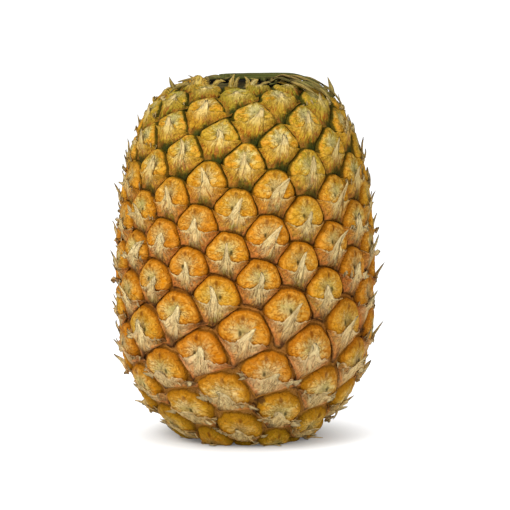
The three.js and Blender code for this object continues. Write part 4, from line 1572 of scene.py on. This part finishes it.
class Nodes:
    """A node tree written as calls. A colour of three numbers is a screen colour."""

    def __init__(self, tree: bpy.types.NodeTree) -> None:
        """Works on an empty tree."""
        self.tree = tree
        tree.nodes.clear()

    def node(self, kind: str, inputs: dict | None = None, **settings: object) -> bpy.types.Node:
        """A new node with its settings, and its inputs set or linked by name or number."""
        made = self.tree.nodes.new(kind)
        for key, value in settings.items():
            setattr(made, key, value)
        for key, value in (inputs or {}).items():
            self.put(made.inputs[key], value)
        return made

    def out(self, kind: str, inputs: dict | None = None, result: str | int = 0, **settings: object) -> Wire:
        """One output of a new node."""
        return Wire(self, self.node(kind, inputs, **settings).outputs[result])

    def put(self, socket: bpy.types.NodeSocket, value: Value | Colour) -> None:
        """Links an output to a socket, or sets the socket to a plain value or a colour."""
        if isinstance(value, Wire):
            self.tree.links.new(value.socket, socket)
        else:
            socket.default_value = paint(*value) if isinstance(value, tuple) and len(value) == 3 else value

    def math(self, operation: str, a: Value, b: Value = 0.0, c: Value = 0.0) -> Wire:
        """A Math node's result."""
        return self.out("ShaderNodeMath", {0: a, 1: b, 2: c}, operation=operation)

    def length(self, x: Wire, y: Wire) -> Wire:
        """The length of x and y at right angles."""
        return self.math("SQRT", x * x + y * y)

    def mix(self, share: Value, a: Colour, b: Colour) -> Wire:
        """Two colours mixed."""
        return self.out("ShaderNodeMix", {0: share, 6: a, 7: b}, 2, data_type="RGBA")

    def ramp(self, value: Wire, stops: Stops) -> Wire:
        """A colour ramp through stops of place and screen colour."""
        made = self.node("ShaderNodeValToRGB", {0: value})
        elements = made.color_ramp.elements
        while len(elements) < len(stops):
            elements.new(1.0)
        for element, (place, *colour) in zip(elements, stops):
            element.position, element.color = place, paint(*colour)
        return Wire(self, made.outputs[0])

    def noise(self, vector: Wire, scale: Value, detail: float, rough: float) -> Wire:
        """A noise value from 0 to 1."""
        return self.out("ShaderNodeTexNoise", {
            "Vector": vector, "Scale": scale, "Detail": detail, "Roughness": rough,
        })

    def vector(self, x: Value, y: Value, z: Value) -> Wire:
        """Three values as a vector."""
        return self.out("ShaderNodeCombineXYZ", {0: x, 1: y, 2: z})

    def parts(self, vector: Wire) -> list[Wire]:
        """A vector's three values."""
        return [Wire(self, part) for part in self.node("ShaderNodeSeparateXYZ", {0: vector}).outputs]

    def attribute(self, name: str) -> list[Wire]:
        """A mesh attribute's three values."""
        return self.parts(self.out("ShaderNodeAttribute", result="Vector", attribute_name=name))

    def place(self) -> Wire:
        """The place on the piece, in metres."""
        return self.out("ShaderNodeTexCoord", result="Object")

    def far(self, vector: Wire) -> Wire:
        """A vector's length."""
        return self.out("ShaderNodeVectorMath", {0: vector}, "Value", operation="LENGTH")


class Effect(Enum):
    """The shared effects, each a node group built once, with their outputs."""

    STREAKS = ("fibre_streaks", ("Coarse", "Fine", "Thread"))
    MOTTLE = ("skin_mottle", ("Blotch", "Patch", "Speck", "Grain"))


class Effects:
    """Builds each shared effect once and hands it to the finishes."""

    def __init__(self) -> None:
        """Builds both groups."""
        self.trees = {Effect.STREAKS: self._streaks(), Effect.MOTTLE: self._mottle()}

    def _start(self, effect: Effect, **values: float) -> tuple[Nodes, list[Wire], bpy.types.Node]:
        """A new group with a vector input called Place, value inputs and the effect's outputs.

        Args:
            effect: the effect.
            values: a plain value for each value input.

        Returns:
            Its nodes, its inputs and the node of its outputs.
        """
        name, results = effect.value
        tree = bpy.data.node_groups.new(name, "ShaderNodeTree")
        tree.interface.new_socket("Place", in_out="INPUT", socket_type="NodeSocketVector")
        for key, value in values.items():
            made = tree.interface.new_socket(key, in_out="INPUT", socket_type="NodeSocketFloat")
            made.default_value = value
        for key in results:
            tree.interface.new_socket(key, in_out="OUTPUT", socket_type="NodeSocketFloat")
        n = Nodes(tree)
        given = n.node("NodeGroupInput")
        return n, [Wire(n, given.outputs[key]) for key in ("Place", *values)], n.node("NodeGroupOutput")

    def _streaks(self) -> bpy.types.NodeTree:
        """Fibres that run along V of a surface: noise drawn out along V.

        Coarse and Fine are soft bands, Thread is thin lines where a third noise crosses its middle.
        """
        n, (place, across, along), out = self._start(Effect.STREAKS, Across=24.0, Along=1.5)
        x, y, z = n.parts(place)
        wide, far = x * across, y * along
        coarse = n.noise(n.vector(wide, far, z), 1.0, 2.0, 0.5)
        fine = n.noise(n.vector(wide * 2.3, far * 1.7, z), 1.0, 3.0, 0.6)
        third = n.noise(n.vector(wide * 0.8, far * 1.4, z + 7.0), 1.0, 2.5, 0.6)
        n.put(out.inputs["Coarse"], coarse.step(0.36, 0.64))
        n.put(out.inputs["Fine"], fine.step(0.34, 0.66))
        n.put(out.inputs["Thread"], abs(third - 0.5).fall(0.0, 0.055))
        return n.tree

    def _mottle(self) -> bpy.types.NodeTree:
        """Blotches, patches, specks and grain in the object's own space."""
        n, (place, scale), out = self._start(Effect.MOTTLE, Scale=200.0)
        n.put(out.inputs["Blotch"], n.noise(place, scale, 3.0, 0.6).step(0.34, 0.66))
        n.put(out.inputs["Patch"], n.noise(place, scale * 2.4, 3.0, 0.65).step(0.31, 0.69))
        n.put(out.inputs["Speck"], n.noise(place, scale * 3.9, 2.0, 0.5).step(0.55, 0.75))
        n.put(out.inputs["Grain"], n.noise(place, scale * 7.0, 3.0, 0.65))
        return n.tree


class Recipe(Nodes):
    """One material: coats of colour laid over each other, on a Principled shader."""

    def __init__(self, name: str, effects: Effects | None = None) -> None:
        """Starts with an empty material."""
        self.material = bpy.data.materials.new(name)
        self.material.use_nodes = True
        super().__init__(self.material.node_tree)
        self.effects = effects
        self.shader = self.node("ShaderNodeBsdfPrincipled")
        self.node("ShaderNodeOutputMaterial", {"Surface": Wire(self, self.shader.outputs[0])})
        self.colour: Colour = (0, 0, 0)

    def effect(self, effect: Effect, place: Wire, **sizes: float) -> list[Wire]:
        """A shared effect's outputs at a place, with this material's own sizes."""
        made = self.node("ShaderNodeGroup", node_tree=self.effects.trees[effect])
        for key, value in {"Place": place, **sizes}.items():
            self.put(made.inputs[key], value)
        return [Wire(self, result) for result in made.outputs]

    def set(self, **inputs: Value | Colour) -> None:
        """Sets or links inputs of the shader, with a low line for each space in their names."""
        for name, value in inputs.items():
            self.put(self.shader.inputs[name.replace("_", " ")], value)

    def skin(self, scale: float) -> tuple[Wire, ...]:
        """How far to the side and how far up the fruit a place is, and the mottle's four values."""
        place = self.place()
        right, _, level = self.parts(place)
        mottle = self.effect(Effect.MOTTLE, place, Scale=scale)
        return abs(right), level * (1 / FRUIT_HEIGHT), *mottle

    def streaks(self, u: Wire, v: Wire, number: Wire, sizes: Pair) -> list[Wire]:
        """Coarse and fine fibres and threads along V, by how many across and along."""
        across, along = sizes
        return self.effect(Effect.STREAKS, self.vector(u, v, number), Across=across, Along=along)

    def ramps(self, value: Wire, *every: Stops) -> list[Wire]:
        """Several ramps of one value."""
        return [self.ramp(value, stops) for stops in every]

    def coat(self, share: Value, colour: Colour) -> None:
        """Lays a share of a colour over what is there."""
        self.colour = self.mix(share, self.colour, colour)

    def done(
        self, roughness: Value, relief: Wire, strength: float, depth: float, specular: float = 0.06,
    ) -> bpy.types.Material:
        """Puts the coats, the roughness and the relief on the shader.

        Args:
            roughness: the roughness.
            relief: the height of the bumps from 0 to 1.
            strength: the share of the bumps that shows.
            depth: how many metres a height of 1 is.
            specular: the level of the gloss.

        Returns:
            The finished material.
        """
        bump = self.out("ShaderNodeBump", {"Height": relief, "Strength": strength, "Distance": depth})
        self.set(Base_Color=self.colour, Roughness=roughness, Specular_IOR_Level=specular, Normal=bump)
        return self.material


@dataclass(frozen=True)
class RindFinish:
    """The leathery skin of the domes: creamy middles, orange shoulders and dark grooves, partly painted
    shade.

    Stops run from the foot of the fruit to its top. Of two colours, the second is for the top.
    """

    cream: Stops = (
        (0, 214, 176, 70), (0.14, 246, 218, 150), (0.34, 216, 182, 110), (0.7, 224, 196, 106),
        (0.86, 218, 192, 96), (1, 180, 156, 66),
    )
    orange: Stops = (
        (0, 200, 156, 10), (0.12, 196, 142, 8), (0.25, 182, 114, 6), (0.6, 213, 141, 10),
        (0.8, 214, 160, 26), (0.9, 204, 160, 34), (1, 168, 148, 40),
    )
    rim: Stops = (
        (0, 156, 116, 10), (0.3, 172, 98, 6), (0.7, 168, 102, 8), (0.85, 152, 110, 14), (1, 118, 112, 28),
    )
    # the grooves' own brown, darkened as painted shade in the crevices between eyes
    groove: Stops = (
        (0, 88, 62, 14), (0.5, 104, 60, 12), (0.72, 84, 64, 12), (0.85, 46, 52, 10), (1, 38, 46, 12),
    )
    bed: Stops = ((0, 176, 126, 60), (0.5, 168, 104, 42), (0.8, 150, 110, 24), (1, 90, 84, 16))
    green: tuple = (124, 128, 30)
    # olive; on the rind laid only near the left and right edges of the view, as painted shade
    olive_and_flank_shade: tuple = (128, 118, 28)
    glow: tuple = (220, 132, 10)
    star: tuple = (234, 216, 154)
    lime: tuple = (170, 168, 60)
    fibre: tuple = (236, 184, 84)
    yellowed: tuple = ((208, 160, 34), (176, 164, 52))
    reddened: tuple = ((190, 104, 8), (206, 142, 20))
    # a painted highlight along the inside of a dome's edge
    line: tuple = (232, 160, 60)
    speckle: tuple = (126, 74, 10)
    notch: tuple = (104, 48, 6)
    # dark: painted shade in the small pit beside the tongue
    pit_shade: tuple = (56, 50, 12)
    # near-black: painted shade in the pits at an eye's corners
    corner_shade: tuple = ((46, 26, 20), (24, 34, 8))
    mottle_scale: float = 230.0
    streaks: Pair = (17.0, 1.3)

    def make(self, effects: Effects) -> bpy.types.Material:
        """The rind's material, driven by each eye's own plane and distance from its wall.

        Args:
            effects: the shared effects.

        Returns:
            The material.
        """
        n = Recipe("rind_skin", effects)
        x, y, wall = n.attribute("place")
        one, two, corner = n.attribute("eye")
        aside, rise, blotch, patch, speck, grain = n.skin(self.mottle_scale)
        cream, orange, rim, groove, bed = n.ramps(
            rise, self.cream, self.orange, self.rim, self.groove, self.bed
        )
        high, bottom = rise.step(0.62, 0.85), rise.fall(0.1, 0.4)
        # the fan of an eye: a ring round its pale middle and the angle round its hub
        lifted = rise.step(0.3, 0.6) * (-1.5 + high * 0.4)
        above = (y + bottom * 0.9 + lifted - 1.5) / 6.2
        ring = n.length(x / 7.4, above)
        angle = n.math("ARCTAN2", y - 1.6, x)
        coarse, fine, thread = n.streaks(angle / 6.2832, ring, one * 31.0, self.streaks)
        # orange shoulders round a cream middle
        loose = ring + blotch.swing(0.35) + coarse.swing(0.22) + patch.swing(0.2)
        pale = (loose - bottom * rise.step(0.02, 0.12) * 0.2).fall(0.25, 1.15)
        n.colour = orange
        n.coat(blotch * 0.35, rim)
        n.coat(patch.step(0.2, 0.8) * ring.step(0.6, 1.2) * (0.25 + coarse * 0.25), rim)
        n.coat(pale * 0.92, cream)
        n.coat(blotch.step(0.2, 0.8) * y.step(1.0, 6.5) * (0.15 + high * 0.65), self.green)
        both = patch * 0.5 + blotch * 0.5
        # olive patches near the left and right edges as the camera sees them: painted shade of the sides
        olive_and_flank_shade = aside.step(0.04, 0.06) * both.step(0.35, 0.75) * rise.step(0.1, 0.3)
        n.coat(olive_and_flank_shade * 0.35, self.olive_and_flank_shade)
        n.coat(coarse.step(0.3, 1.0) * ring.step(0.5, 1.0) * (0.4 + high * 0.15), self.glow)
        star = (ring + coarse.swing(0.4) + patch.swing(0.35)).fall(0.25, 0.9)
        n.coat(star * (0.3 + high * 0.45), self.star)
        lime = (two * 0.5 + blotch * 0.5).step(0.4, 0.8)
        n.coat(pale * lime * 0.3, self.lime)
        n.coat(fine * ring.step(0.3, 0.8) * 0.44, self.fibre)
        n.coat(thread * ring.step(0.2, 0.5) * 0.65, rim)
        # every eye has its own tone
        n.coat(one.step(0.5, 0.95) * (0.25 + blotch * 0.2), n.mix(high, *self.yellowed))
        n.coat(two.fall(0.05, 0.5) * (0.2 + patch * 0.25), n.mix(high, *self.reddened))
        # darker towards the top of the eye and towards its edge, with a thin bright line inside, a painted
        # highlight along the edge
        top = y.step(3.6, 8.4) * (0.3 + blotch * 0.6) * (1 - high * 0.5)
        n.coat(top * 0.7, rim)
        line = wall.step(1.0, 1.5) * wall.fall(1.6, 2.3) * patch.step(0.2, 0.7)
        n.coat(line * (0.45 - bottom * 0.4), self.line)
        n.coat((wall + patch.swing(0.9) - bottom * 0.7).fall(0.3, 1.7) * 0.85, rim)
        n.coat(speck * 0.5, self.speckle)
        n.coat(grain.step(0.55, 0.8) * 0.25, rim)
        n.coat(y.fall(-5.0, -2.6) * 0.7, bed)
        # the notch at the top of the rim, and the small pit beside the middle, darkened as painted shade of
        # the hollow beside the tongue
        notch = n.length(x - one.swing(1.8), (y - 8.0) * 0.6).fall(0.3, 1.3)
        n.coat(notch * (0.65 - high * 0.35), self.notch)
        pit_x = x - (two.step(0.45, 0.55) * 4.2 - 1.7)
        pit_shade = n.length(pit_x, (y - 0.9) * 0.62).fall(0.2, 1.25)
        n.coat(pit_shade * (0.85 - high * 0.45), self.pit_shade)
        # the groove, its own brown darkened as painted shade in the crevice, the floor of the pits between
        # eyes, and the near-black corners, painted shade in the pits where eyes meet
        edge = wall + grain.swing(0.5) + patch.swing(0.3) - high * 0.75
        n.coat(edge.fall(-0.25, 0.35) * (0.82 - bottom * 0.25), groove)
        sunk = (wall + patch.swing(0.4) - bottom * 0.6).fall(-1.3, -0.7)
        n.coat(sunk * (0.35 + fine * 0.5 + bottom * 0.15), bed)
        # painted shade in the corner pits, reaching further on some eyes and low down
        corner_shade_reach = two.step(0.7, 1.0) * (1.2 + bottom * 1.6)
        corner_shade = (corner + patch.swing(1.2) - corner_shade_reach).fall(0.3, 1.9)
        n.coat(corner_shade * 0.75, n.mix(rise.step(0.6, 0.8), *self.corner_shade))
        relief = grain * 0.35 + fine * 0.6 + patch * 0.5 - thread * 0.8
        return n.done(0.5 + blotch * 0.16, relief, 0.8, 0.0006)


@dataclass(frozen=True)
class BractFinish:
    """The dry papery bracts: cream tongues and margins, with fibres that fan out below.

    Stops run from the foot of the fruit to its top. Of two colours, the second is for the top.
    """

    cream: Stops = ((0, 226, 194, 124), (0.25, 230, 196, 142), (0.5, 230, 202, 142), (1, 226, 198, 114))
    body: Stops = (
        (0, 212, 170, 84), (0.2, 226, 170, 106), (0.34, 208, 136, 60), (0.5, 216, 137, 48),
        (0.6, 220, 148, 44), (0.72, 226, 162, 48), (0.86, 224, 174, 56), (1, 166, 136, 46),
    )
    olive: Stops = (
        (0, 146, 122, 44), (0.25, 160, 122, 58), (0.5, 124, 104, 36), (0.72, 152, 122, 28),
        (0.85, 172, 140, 34), (1, 140, 126, 36),
    )
    dark: Stops = (
        (0, 116, 78, 26), (0.2, 136, 88, 44), (0.5, 104, 54, 20), (0.72, 140, 66, 8),
        (0.85, 150, 80, 8), (1, 80, 74, 14),
    )
    foot: Stops = (
        (0, 176, 136, 66), (0.2, 140, 98, 50), (0.34, 118, 80, 34), (0.5, 110, 80, 26),
        (0.7, 110, 88, 20), (0.82, 86, 86, 14), (1, 44, 58, 12),
    )
    patches: tuple = ((224, 132, 70), (226, 166, 36))
    yellowed: tuple = ((196, 152, 50), (168, 160, 50))
    reddened: tuple = ((206, 100, 44), (214, 136, 22))
    olive_and_flank_shade: tuple = (138, 124, 30)
    dash: tuple = (150, 64, 6)
    hair: tuple = (240, 216, 152)
    # near-black: painted shade in the pits at a bract's corners
    corner_shade: tuple = ((50, 28, 24), (28, 38, 8))
    ridge: tuple = (232, 136, 64)
    heel: tuple = (40, 50, 14)
    # dark: partly the foot's own colour, partly painted shade in the crevice
    seam: tuple = ((92, 52, 14), (36, 42, 8))
    tip: tuple = ((250, 226, 166), (236, 212, 148))
    tip_fibre: tuple = (186, 146, 86)
    # dark brown: the burnt tips of some tongues, and painted shade on the tongues along the flanks
    burnt_and_flank_shade: tuple = (98, 72, 34)
    mottle_scale: float = 250.0
    streaks: Pair = (17.0, 1.6)

    def make(self, effects: Effects) -> bpy.types.Material:
        """The bracts' material, driven by their UV map: U across the fan, V from margin to foot.

        Args:
            effects: the shared effects.

        Returns:
            The material.
        """
        n = Recipe("bract_paper", effects)
        u, v, _ = n.parts(n.out("ShaderNodeUVMap", uv_map="UVMap"))
        one, two, corner = n.attribute("eye")
        x, y, tongue = n.attribute("fold")
        aside, rise, blotch, patch, speck, grain = n.skin(self.mottle_scale)
        cream, body, olive, dark, foot = n.ramps(
            rise, self.cream, self.body, self.olive, self.dark, self.foot
        )
        bent = u + n.noise(n.place(), 180.0, 2.0, 0.5).swing(0.09)
        coarse, fine, thread = n.streaks(bent, v, one * 37.0, self.streaks)
        off_middle, side = abs(x), abs(u.swing(2.0))
        high, bottom = rise.step(0.6, 0.8), rise.fall(0.2, 0.5)
        plain = 1 - high
        # the body, with patches and every eye's own tone
        n.colour = body
        n.coat(n.math("MULTIPLY_ADD", blotch, 0.4, off_middle.fall(2.0, 7.0) * 0.45), olive)
        n.coat(patch * 0.3, n.mix(high, *self.patches))
        n.coat(one.step(0.5, 0.95) * (0.2 + blotch * 0.2), n.mix(high, *self.yellowed))
        n.coat(two.fall(0.05, 0.5) * (0.15 + patch * 0.3), n.mix(high, *self.reddened))
        # the foot, the moss and the dark threads
        loose = v + coarse.swing(0.5) * plain + patch.swing(0.25) - bottom * 0.2 + high * 0.06
        sided = 0.4 + off_middle.fall(2.5, 8.0) * 0.56
        n.coat(loose.step(0.55, 0.98) * sided, foot)
        mossy = blotch.step(0.5, 0.85) * v.step(0.45, 0.8) * rise.step(0.25, 0.45)
        n.coat(mossy * (0.25 + one * 0.4), self.olive_and_flank_shade)
        calm = 1 - off_middle.step(3.0, 7.0) * 0.6
        n.coat(thread * calm * (0.55 + plain * 0.37), dark)
        # the pale root and core of the tongue
        far = n.far(n.vector(x, y + 2.4, 0.0))
        near = (far + blotch.swing(2.5) + high * 0.4 - bottom * 2.0).fall(1.5, 8.5)
        n.coat(near * (0.22 + coarse * 0.66) * (1 - thread * 0.8), cream)
        core = (far + coarse.swing(1.6) + blotch.swing(0.8)).fall(1.2, 4.4)
        n.coat(core * (0.6 - thread * 0.45), cream)
        dash = high * v.step(0.35, 0.55) * v.fall(0.78, 0.92) * fine.step(0.5, 0.9)
        n.coat(dash * 0.75, self.dash)
        n.coat(fine * far.fall(2.0, 11.0) * (0.15 + plain * 0.5), self.hair)
        n.coat(speck * 0.45, dark)
        n.coat(grain.step(0.55, 0.8) * 0.3, olive)
        # the near-black corners, painted shade in the pits where eyes meet, the margin, the ridge, the heel,
        # and the seam, partly painted shade in the crevice at the foot
        # painted shade in the corner pits, reaching further on some eyes and low down
        corner_shade_reach = two.step(0.7, 1.0) * (1.6 + bottom * 1.4)
        corner_shade = (corner + patch.swing(1.6) - corner_shade_reach).fall(0.5, 3.2)
        n.coat(corner_shade * 0.65, n.mix(rise.step(0.6, 0.8), *self.corner_shade))
        edge = (v - bottom * 0.06 + patch.swing(0.08)).fall(0.05, 0.18)
        margin = edge * (side + patch.swing(0.4)).fall(0.45, 1.05)
        n.coat(margin * (0.15 + plain * 0.7), cream)
        ridge = v.step(0.62, 0.78) * v.fall(0.86, 0.96) * off_middle.step(2.5, 5.0)
        ridge = ridge * (0.3 + blotch * 0.35)
        n.coat(ridge * (0.2 + patch * 0.4 + plain * 0.4), self.ridge)
        heel = high * (v + patch.swing(0.15)).step(0.6, 0.86) * off_middle.fall(2.0, 6.5)
        n.coat(heel * 0.8, self.heel)
        # the foot's own dark colour and painted shade in the crevice by the groove
        seam = (v + patch.swing(0.05) + high * 0.04).step(0.92, 0.98)
        n.coat(seam * (0.35 + patch * 0.4 + high * 0.2), n.mix(high, *self.seam))
        # the tongue, burnt at some tips, and darkened at its top on the left and right flanks as painted
        # shade
        tip = tongue.step(0.02, 0.2)
        n.coat(tip * 0.9, n.mix(high, *self.tip))
        n.coat(tip * fine * 0.45, self.tip_fibre)
        upper_tongue = (tongue + patch.swing(0.4) - fine * 0.3).step(0.35, 0.8)
        some = tongue.step(0.8, 1.0) * two.step(0.5, 0.8) * 0.6
        n.coat(n.math("MAXIMUM", some, aside.step(0.045, 0.06) * upper_tongue * 0.8), self.burnt_and_flank_shade)
        relief = fine * 0.6 + coarse * 0.9 - thread * 0.5 + patch * 0.4
        return n.done(0.6 + fine * 0.15, relief, 1.0, 0.0006)


@dataclass(frozen=True)
class LeafFinish:
    """The cut crown: dark olive leaf bases, dried olive and brown leaves, and black in the hollow as painted
    shade.
    """

    green: tuple = (62, 76, 30)
    olive: tuple = (96, 98, 42)
    straw: tuple = (186, 154, 86)
    brown: tuple = (96, 68, 28)
    golden: tuple = (208, 170, 60)
    torn: tuple = ((170, 122, 40), (242, 222, 164))
    midrib_and_highlight: tuple = (206, 190, 104)
    edge: tuple = (58, 44, 18)
    thread: tuple = (64, 50, 20)
    fibre: tuple = (196, 178, 112)
    hollow_shade: tuple = (14, 13, 8)
    mottle_scale: float = 190.0
    streaks: Pair = (9.0, 1.2)

    def make(self, effects: Effects) -> bpy.types.Material:
        """The leaves' material, driven by their UV map: U across, V from the base to the end.

        Args:
            effects: the shared effects.

        Returns:
            The material.
        """
        n = Recipe("crown_leaf", effects)
        u, v, _ = n.parts(n.out("ShaderNodeUVMap", uv_map="UVMap"))
        one, dry, shaded_reach = n.attribute("eye")
        blotch, *_ = n.effect(Effect.MOTTLE, n.place(), Scale=self.mottle_scale)
        coarse, fine, thread = n.streaks(u, v, one * 41.0, self.streaks)
        n.colour = n.mix(coarse * 0.5, self.green, self.olive)
        dried = n.mix(coarse * 0.7, self.straw, n.mix(blotch, self.brown, self.olive))
        n.coat((dry + blotch.swing(0.35)).step(0.2, 0.8), dried)
        torn = n.mix(coarse * 0.75, self.golden, n.mix(blotch, *self.torn))
        n.coat(dry.step(1.0, 1.3), torn)
        aside, old = abs(u.swing(1.0)), dry.step(0.25, 0.45)
        # a paler middle on dried leaves: partly a pale midrib, partly a painted highlight
        n.coat(aside.fall(0.05, 0.3) * old * (0.15 + fine * 0.5), self.midrib_and_highlight)
        n.coat((aside + coarse.swing(0.1)).step(0.3, 0.48) * old * 0.6, self.edge)
        n.coat(thread * 0.75, self.thread)
        n.coat(fine * 0.18, self.fibre)
        # painted shade in the crown's hollow
        n.coat(shaded_reach.step(0.1, 0.9), self.hollow_shade)
        relief = fine * 0.5 + coarse * 0.8 - thread * 0.8
        return n.done(0.5 + blotch * 0.2, relief, 0.6, 0.0005)


@dataclass(frozen=True)
class StalkFinish:
    """The cut stalk: dry fibrous pith inside a brown rind."""

    pith: tuple = (196, 168, 112)
    ring: tuple = (150, 116, 66)
    dot: tuple = (110, 80, 44)
    bark: tuple = (92, 64, 34)
    mottle_scale: float = 500.0
    gloss: float = 0.5

    def make(self, effects: Effects) -> bpy.types.Material:
        """The stalk's material, with rings and dots of fibre round its own axis.

        Args:
            effects: the shared effects.

        Returns:
            The material.
        """
        n = Recipe("stalk_pith", effects)
        where = n.place()
        x, y, _ = n.parts(where)
        far = n.length(x, y) * (1 / METRES)
        blotch, _, speck, grain = n.effect(Effect.MOTTLE, where, Scale=self.mottle_scale)
        rings = n.math("SINE", far * 3.2 + blotch * 2.0).step(0.3, 0.8)
        n.colour = n.mix(rings * 0.45, self.pith, self.ring)
        n.coat(speck * 0.6, self.dot)
        n.coat(far.step(8.6, 9.8), self.bark)
        return n.done(0.75 + blotch * 0.15, grain, 0.5, 0.0004, self.gloss)


# ---- The studio


@dataclass(frozen=True)
class Lamp:
    """A square area light that points at the middle of the fruit: sizes in metres, power in watts."""

    name: str
    size: float
    power: float
    place: tuple[float, float, float]
    colour: tuple[float, float, float]


@dataclass(frozen=True)
class Studio:
    """A plain pale floor, soft light from a white room and the camera."""

    distance: float = 2.51
    elevation: float = 8.0
    target: tuple[float, float, float] = (0.0, 0.0, 0.0902)
    sight_share: float = 0.502
    target_pixel: Pair = (245.5, 258.0)
    picture: float = 510.0
    sensor: float = 36.0
    clip: Pair = (0.05, 50.0)
    room: float = 0.36
    lamps: tuple[Lamp, ...] = (
        Lamp("key", 0.8, 21.2, (-0.76, -0.94, 1.02), (1.0, 0.985, 0.96)),
        Lamp("fill", 0.9, 7.5, (0.95, -0.9, 0.6), (1.0, 1.0, 1.0)),
    )
    floor_half: float = 6.0
    floor_colour: tuple[float, float, float, float] = (0.6, 0.62, 0.64, 1.0)
    floor_roughness: float = 0.8
    floor_gloss: float = 0.1
    white: tuple[float, float, float, float] = (1.0, 1.0, 1.0, 1.0)

    def _show(self, name: str, data: bpy.types.ID) -> bpy.types.Object:
        """A new object of the scene."""
        made = bpy.data.objects.new(name, data)
        bpy.context.scene.collection.objects.link(made)
        return made

    def camera(self, shift: Array) -> None:
        """Sets the camera: it looks at a point of the axis that falls on a given pixel.

        Args:
            shift: from the fruit's axis to the row's origin, in millimetres.
        """
        data = bpy.data.cameras.new("camera")
        data.sensor_width = self.sensor
        data.lens = self.sensor * self.distance / METRES / (self.sight_share * self.picture)
        data.shift_x = (self.picture / 2 - self.target_pixel[0]) / self.picture
        data.shift_y = (self.target_pixel[1] - self.picture / 2) / self.picture
        data.clip_start, data.clip_end = self.clip
        camera = self._show("camera", data)
        up = math.radians(self.elevation)
        x, y, z = (a + b * METRES for a, b in zip(self.target, shift))
        camera.location = (x, y - self.distance * math.cos(up), z + self.distance * math.sin(up))
        camera.rotation_euler = (math.pi / 2 - up, 0.0, 0.0)
        bpy.context.scene.camera = camera

    def _light(self, lamp: Lamp) -> None:
        """Hangs one lamp."""
        data = bpy.data.lights.new(lamp.name, "AREA")
        data.size, data.energy, data.color = lamp.size, lamp.power, lamp.colour
        made = self._show(lamp.name, data)
        made.location = lamp.place
        x, y, z = np.array(self.target) - np.array(lamp.place)
        made.rotation_euler = (math.atan2(math.hypot(x, y), -z), 0.0, math.atan2(y, x) - math.pi / 2)

    def lights(self) -> None:
        """A room that looks white but lights gently, a broad key from the upper left and a fill."""
        world = bpy.data.worlds.new("room")
        world.use_nodes = True
        n = Nodes(world.node_tree)
        seen = n.out("ShaderNodeLightPath", result="Is Camera Ray")
        strength = n.math("MULTIPLY_ADD", seen, 1.0 - self.room, self.room)
        shade = n.out("ShaderNodeBackground", {"Color": self.white, "Strength": strength})
        n.node("ShaderNodeOutputWorld", {"Surface": shade})
        bpy.context.scene.world = world
        for lamp in self.lamps:
            self._light(lamp)

    def floor(self) -> None:
        """A pale floor: a square whose edge lies far outside the view, lit a little from within, and less so
        round the fruit's foot as a painted contact shadow.
        """
        half = self.floor_half
        mesh = bpy.data.meshes.new("floor")
        corners = [(-half, -half, 0), (half, -half, 0), (half, half, 0), (-half, half, 0)]
        mesh.from_pydata(corners, [], [(0, 1, 2, 3)])
        floor = self._show("floor", mesh)
        n = Recipe("floor_white")
        seen = n.out("ShaderNodeLightPath", result="Is Camera Ray")
        # the glow falls off towards the fruit's axis: a painted contact shadow round its foot
        glow = 0.1 + n.far(n.place()).step(0.024, 0.08) * 0.78
        n.set(Base_Color=self.floor_colour, Roughness=self.floor_roughness, Emission_Color=self.white)
        glow = glow * n.math("MULTIPLY_ADD", seen, 0.6, 0.4)
        n.set(Specular_IOR_Level=self.floor_gloss, Emission_Strength=glow)
        mesh.materials.append(n.material)

    def view_settings(self) -> None:
        """Colours are shown as they are, without a film curve."""
        settings = bpy.context.scene.view_settings
        settings.view_transform = "Standard"
        settings.look = "None"
        settings.exposure = 0.0


# ---- Assembly


def dress(piece: bpy.types.Object, material: bpy.types.Material, node: str) -> None:
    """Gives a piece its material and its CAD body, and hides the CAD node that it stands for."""
    piece.data.materials.append(material)
    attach(piece, "root")
    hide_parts(node)


def main() -> None:
    """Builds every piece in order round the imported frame."""
    logging.basicConfig(level=logging.INFO, format="%(name)s: %(message)s")
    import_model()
    low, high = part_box("stalk")
    shift = np.array([(low[k] + high[k]) / 2 / METRES for k in range(2)] + [0.0])
    LOG.info("axis at %s mm", np.round(shift, 3))

    effects = Effects()
    spiral, form = Spiral(), EyeForm()
    rind = Rind(spiral, form)
    skin = RindFinish().make(effects)
    for piece in rind.build(shift):
        dress(piece, skin, "fruit")
    paper = BractFinish().make(effects)
    for piece in Bracts(spiral, form).build(shift):
        dress(piece, paper, "fruit")
    dress(Crown(rind).build(shift), LeafFinish().make(effects), "crown_leaf_bases")
    dress(Stalk().build(shift), StalkFinish().make(effects), "stalk")

    studio = Studio()
    studio.floor()
    studio.lights()
    studio.camera(shift)
    studio.view_settings()


if __name__ == "__main__":
    main()
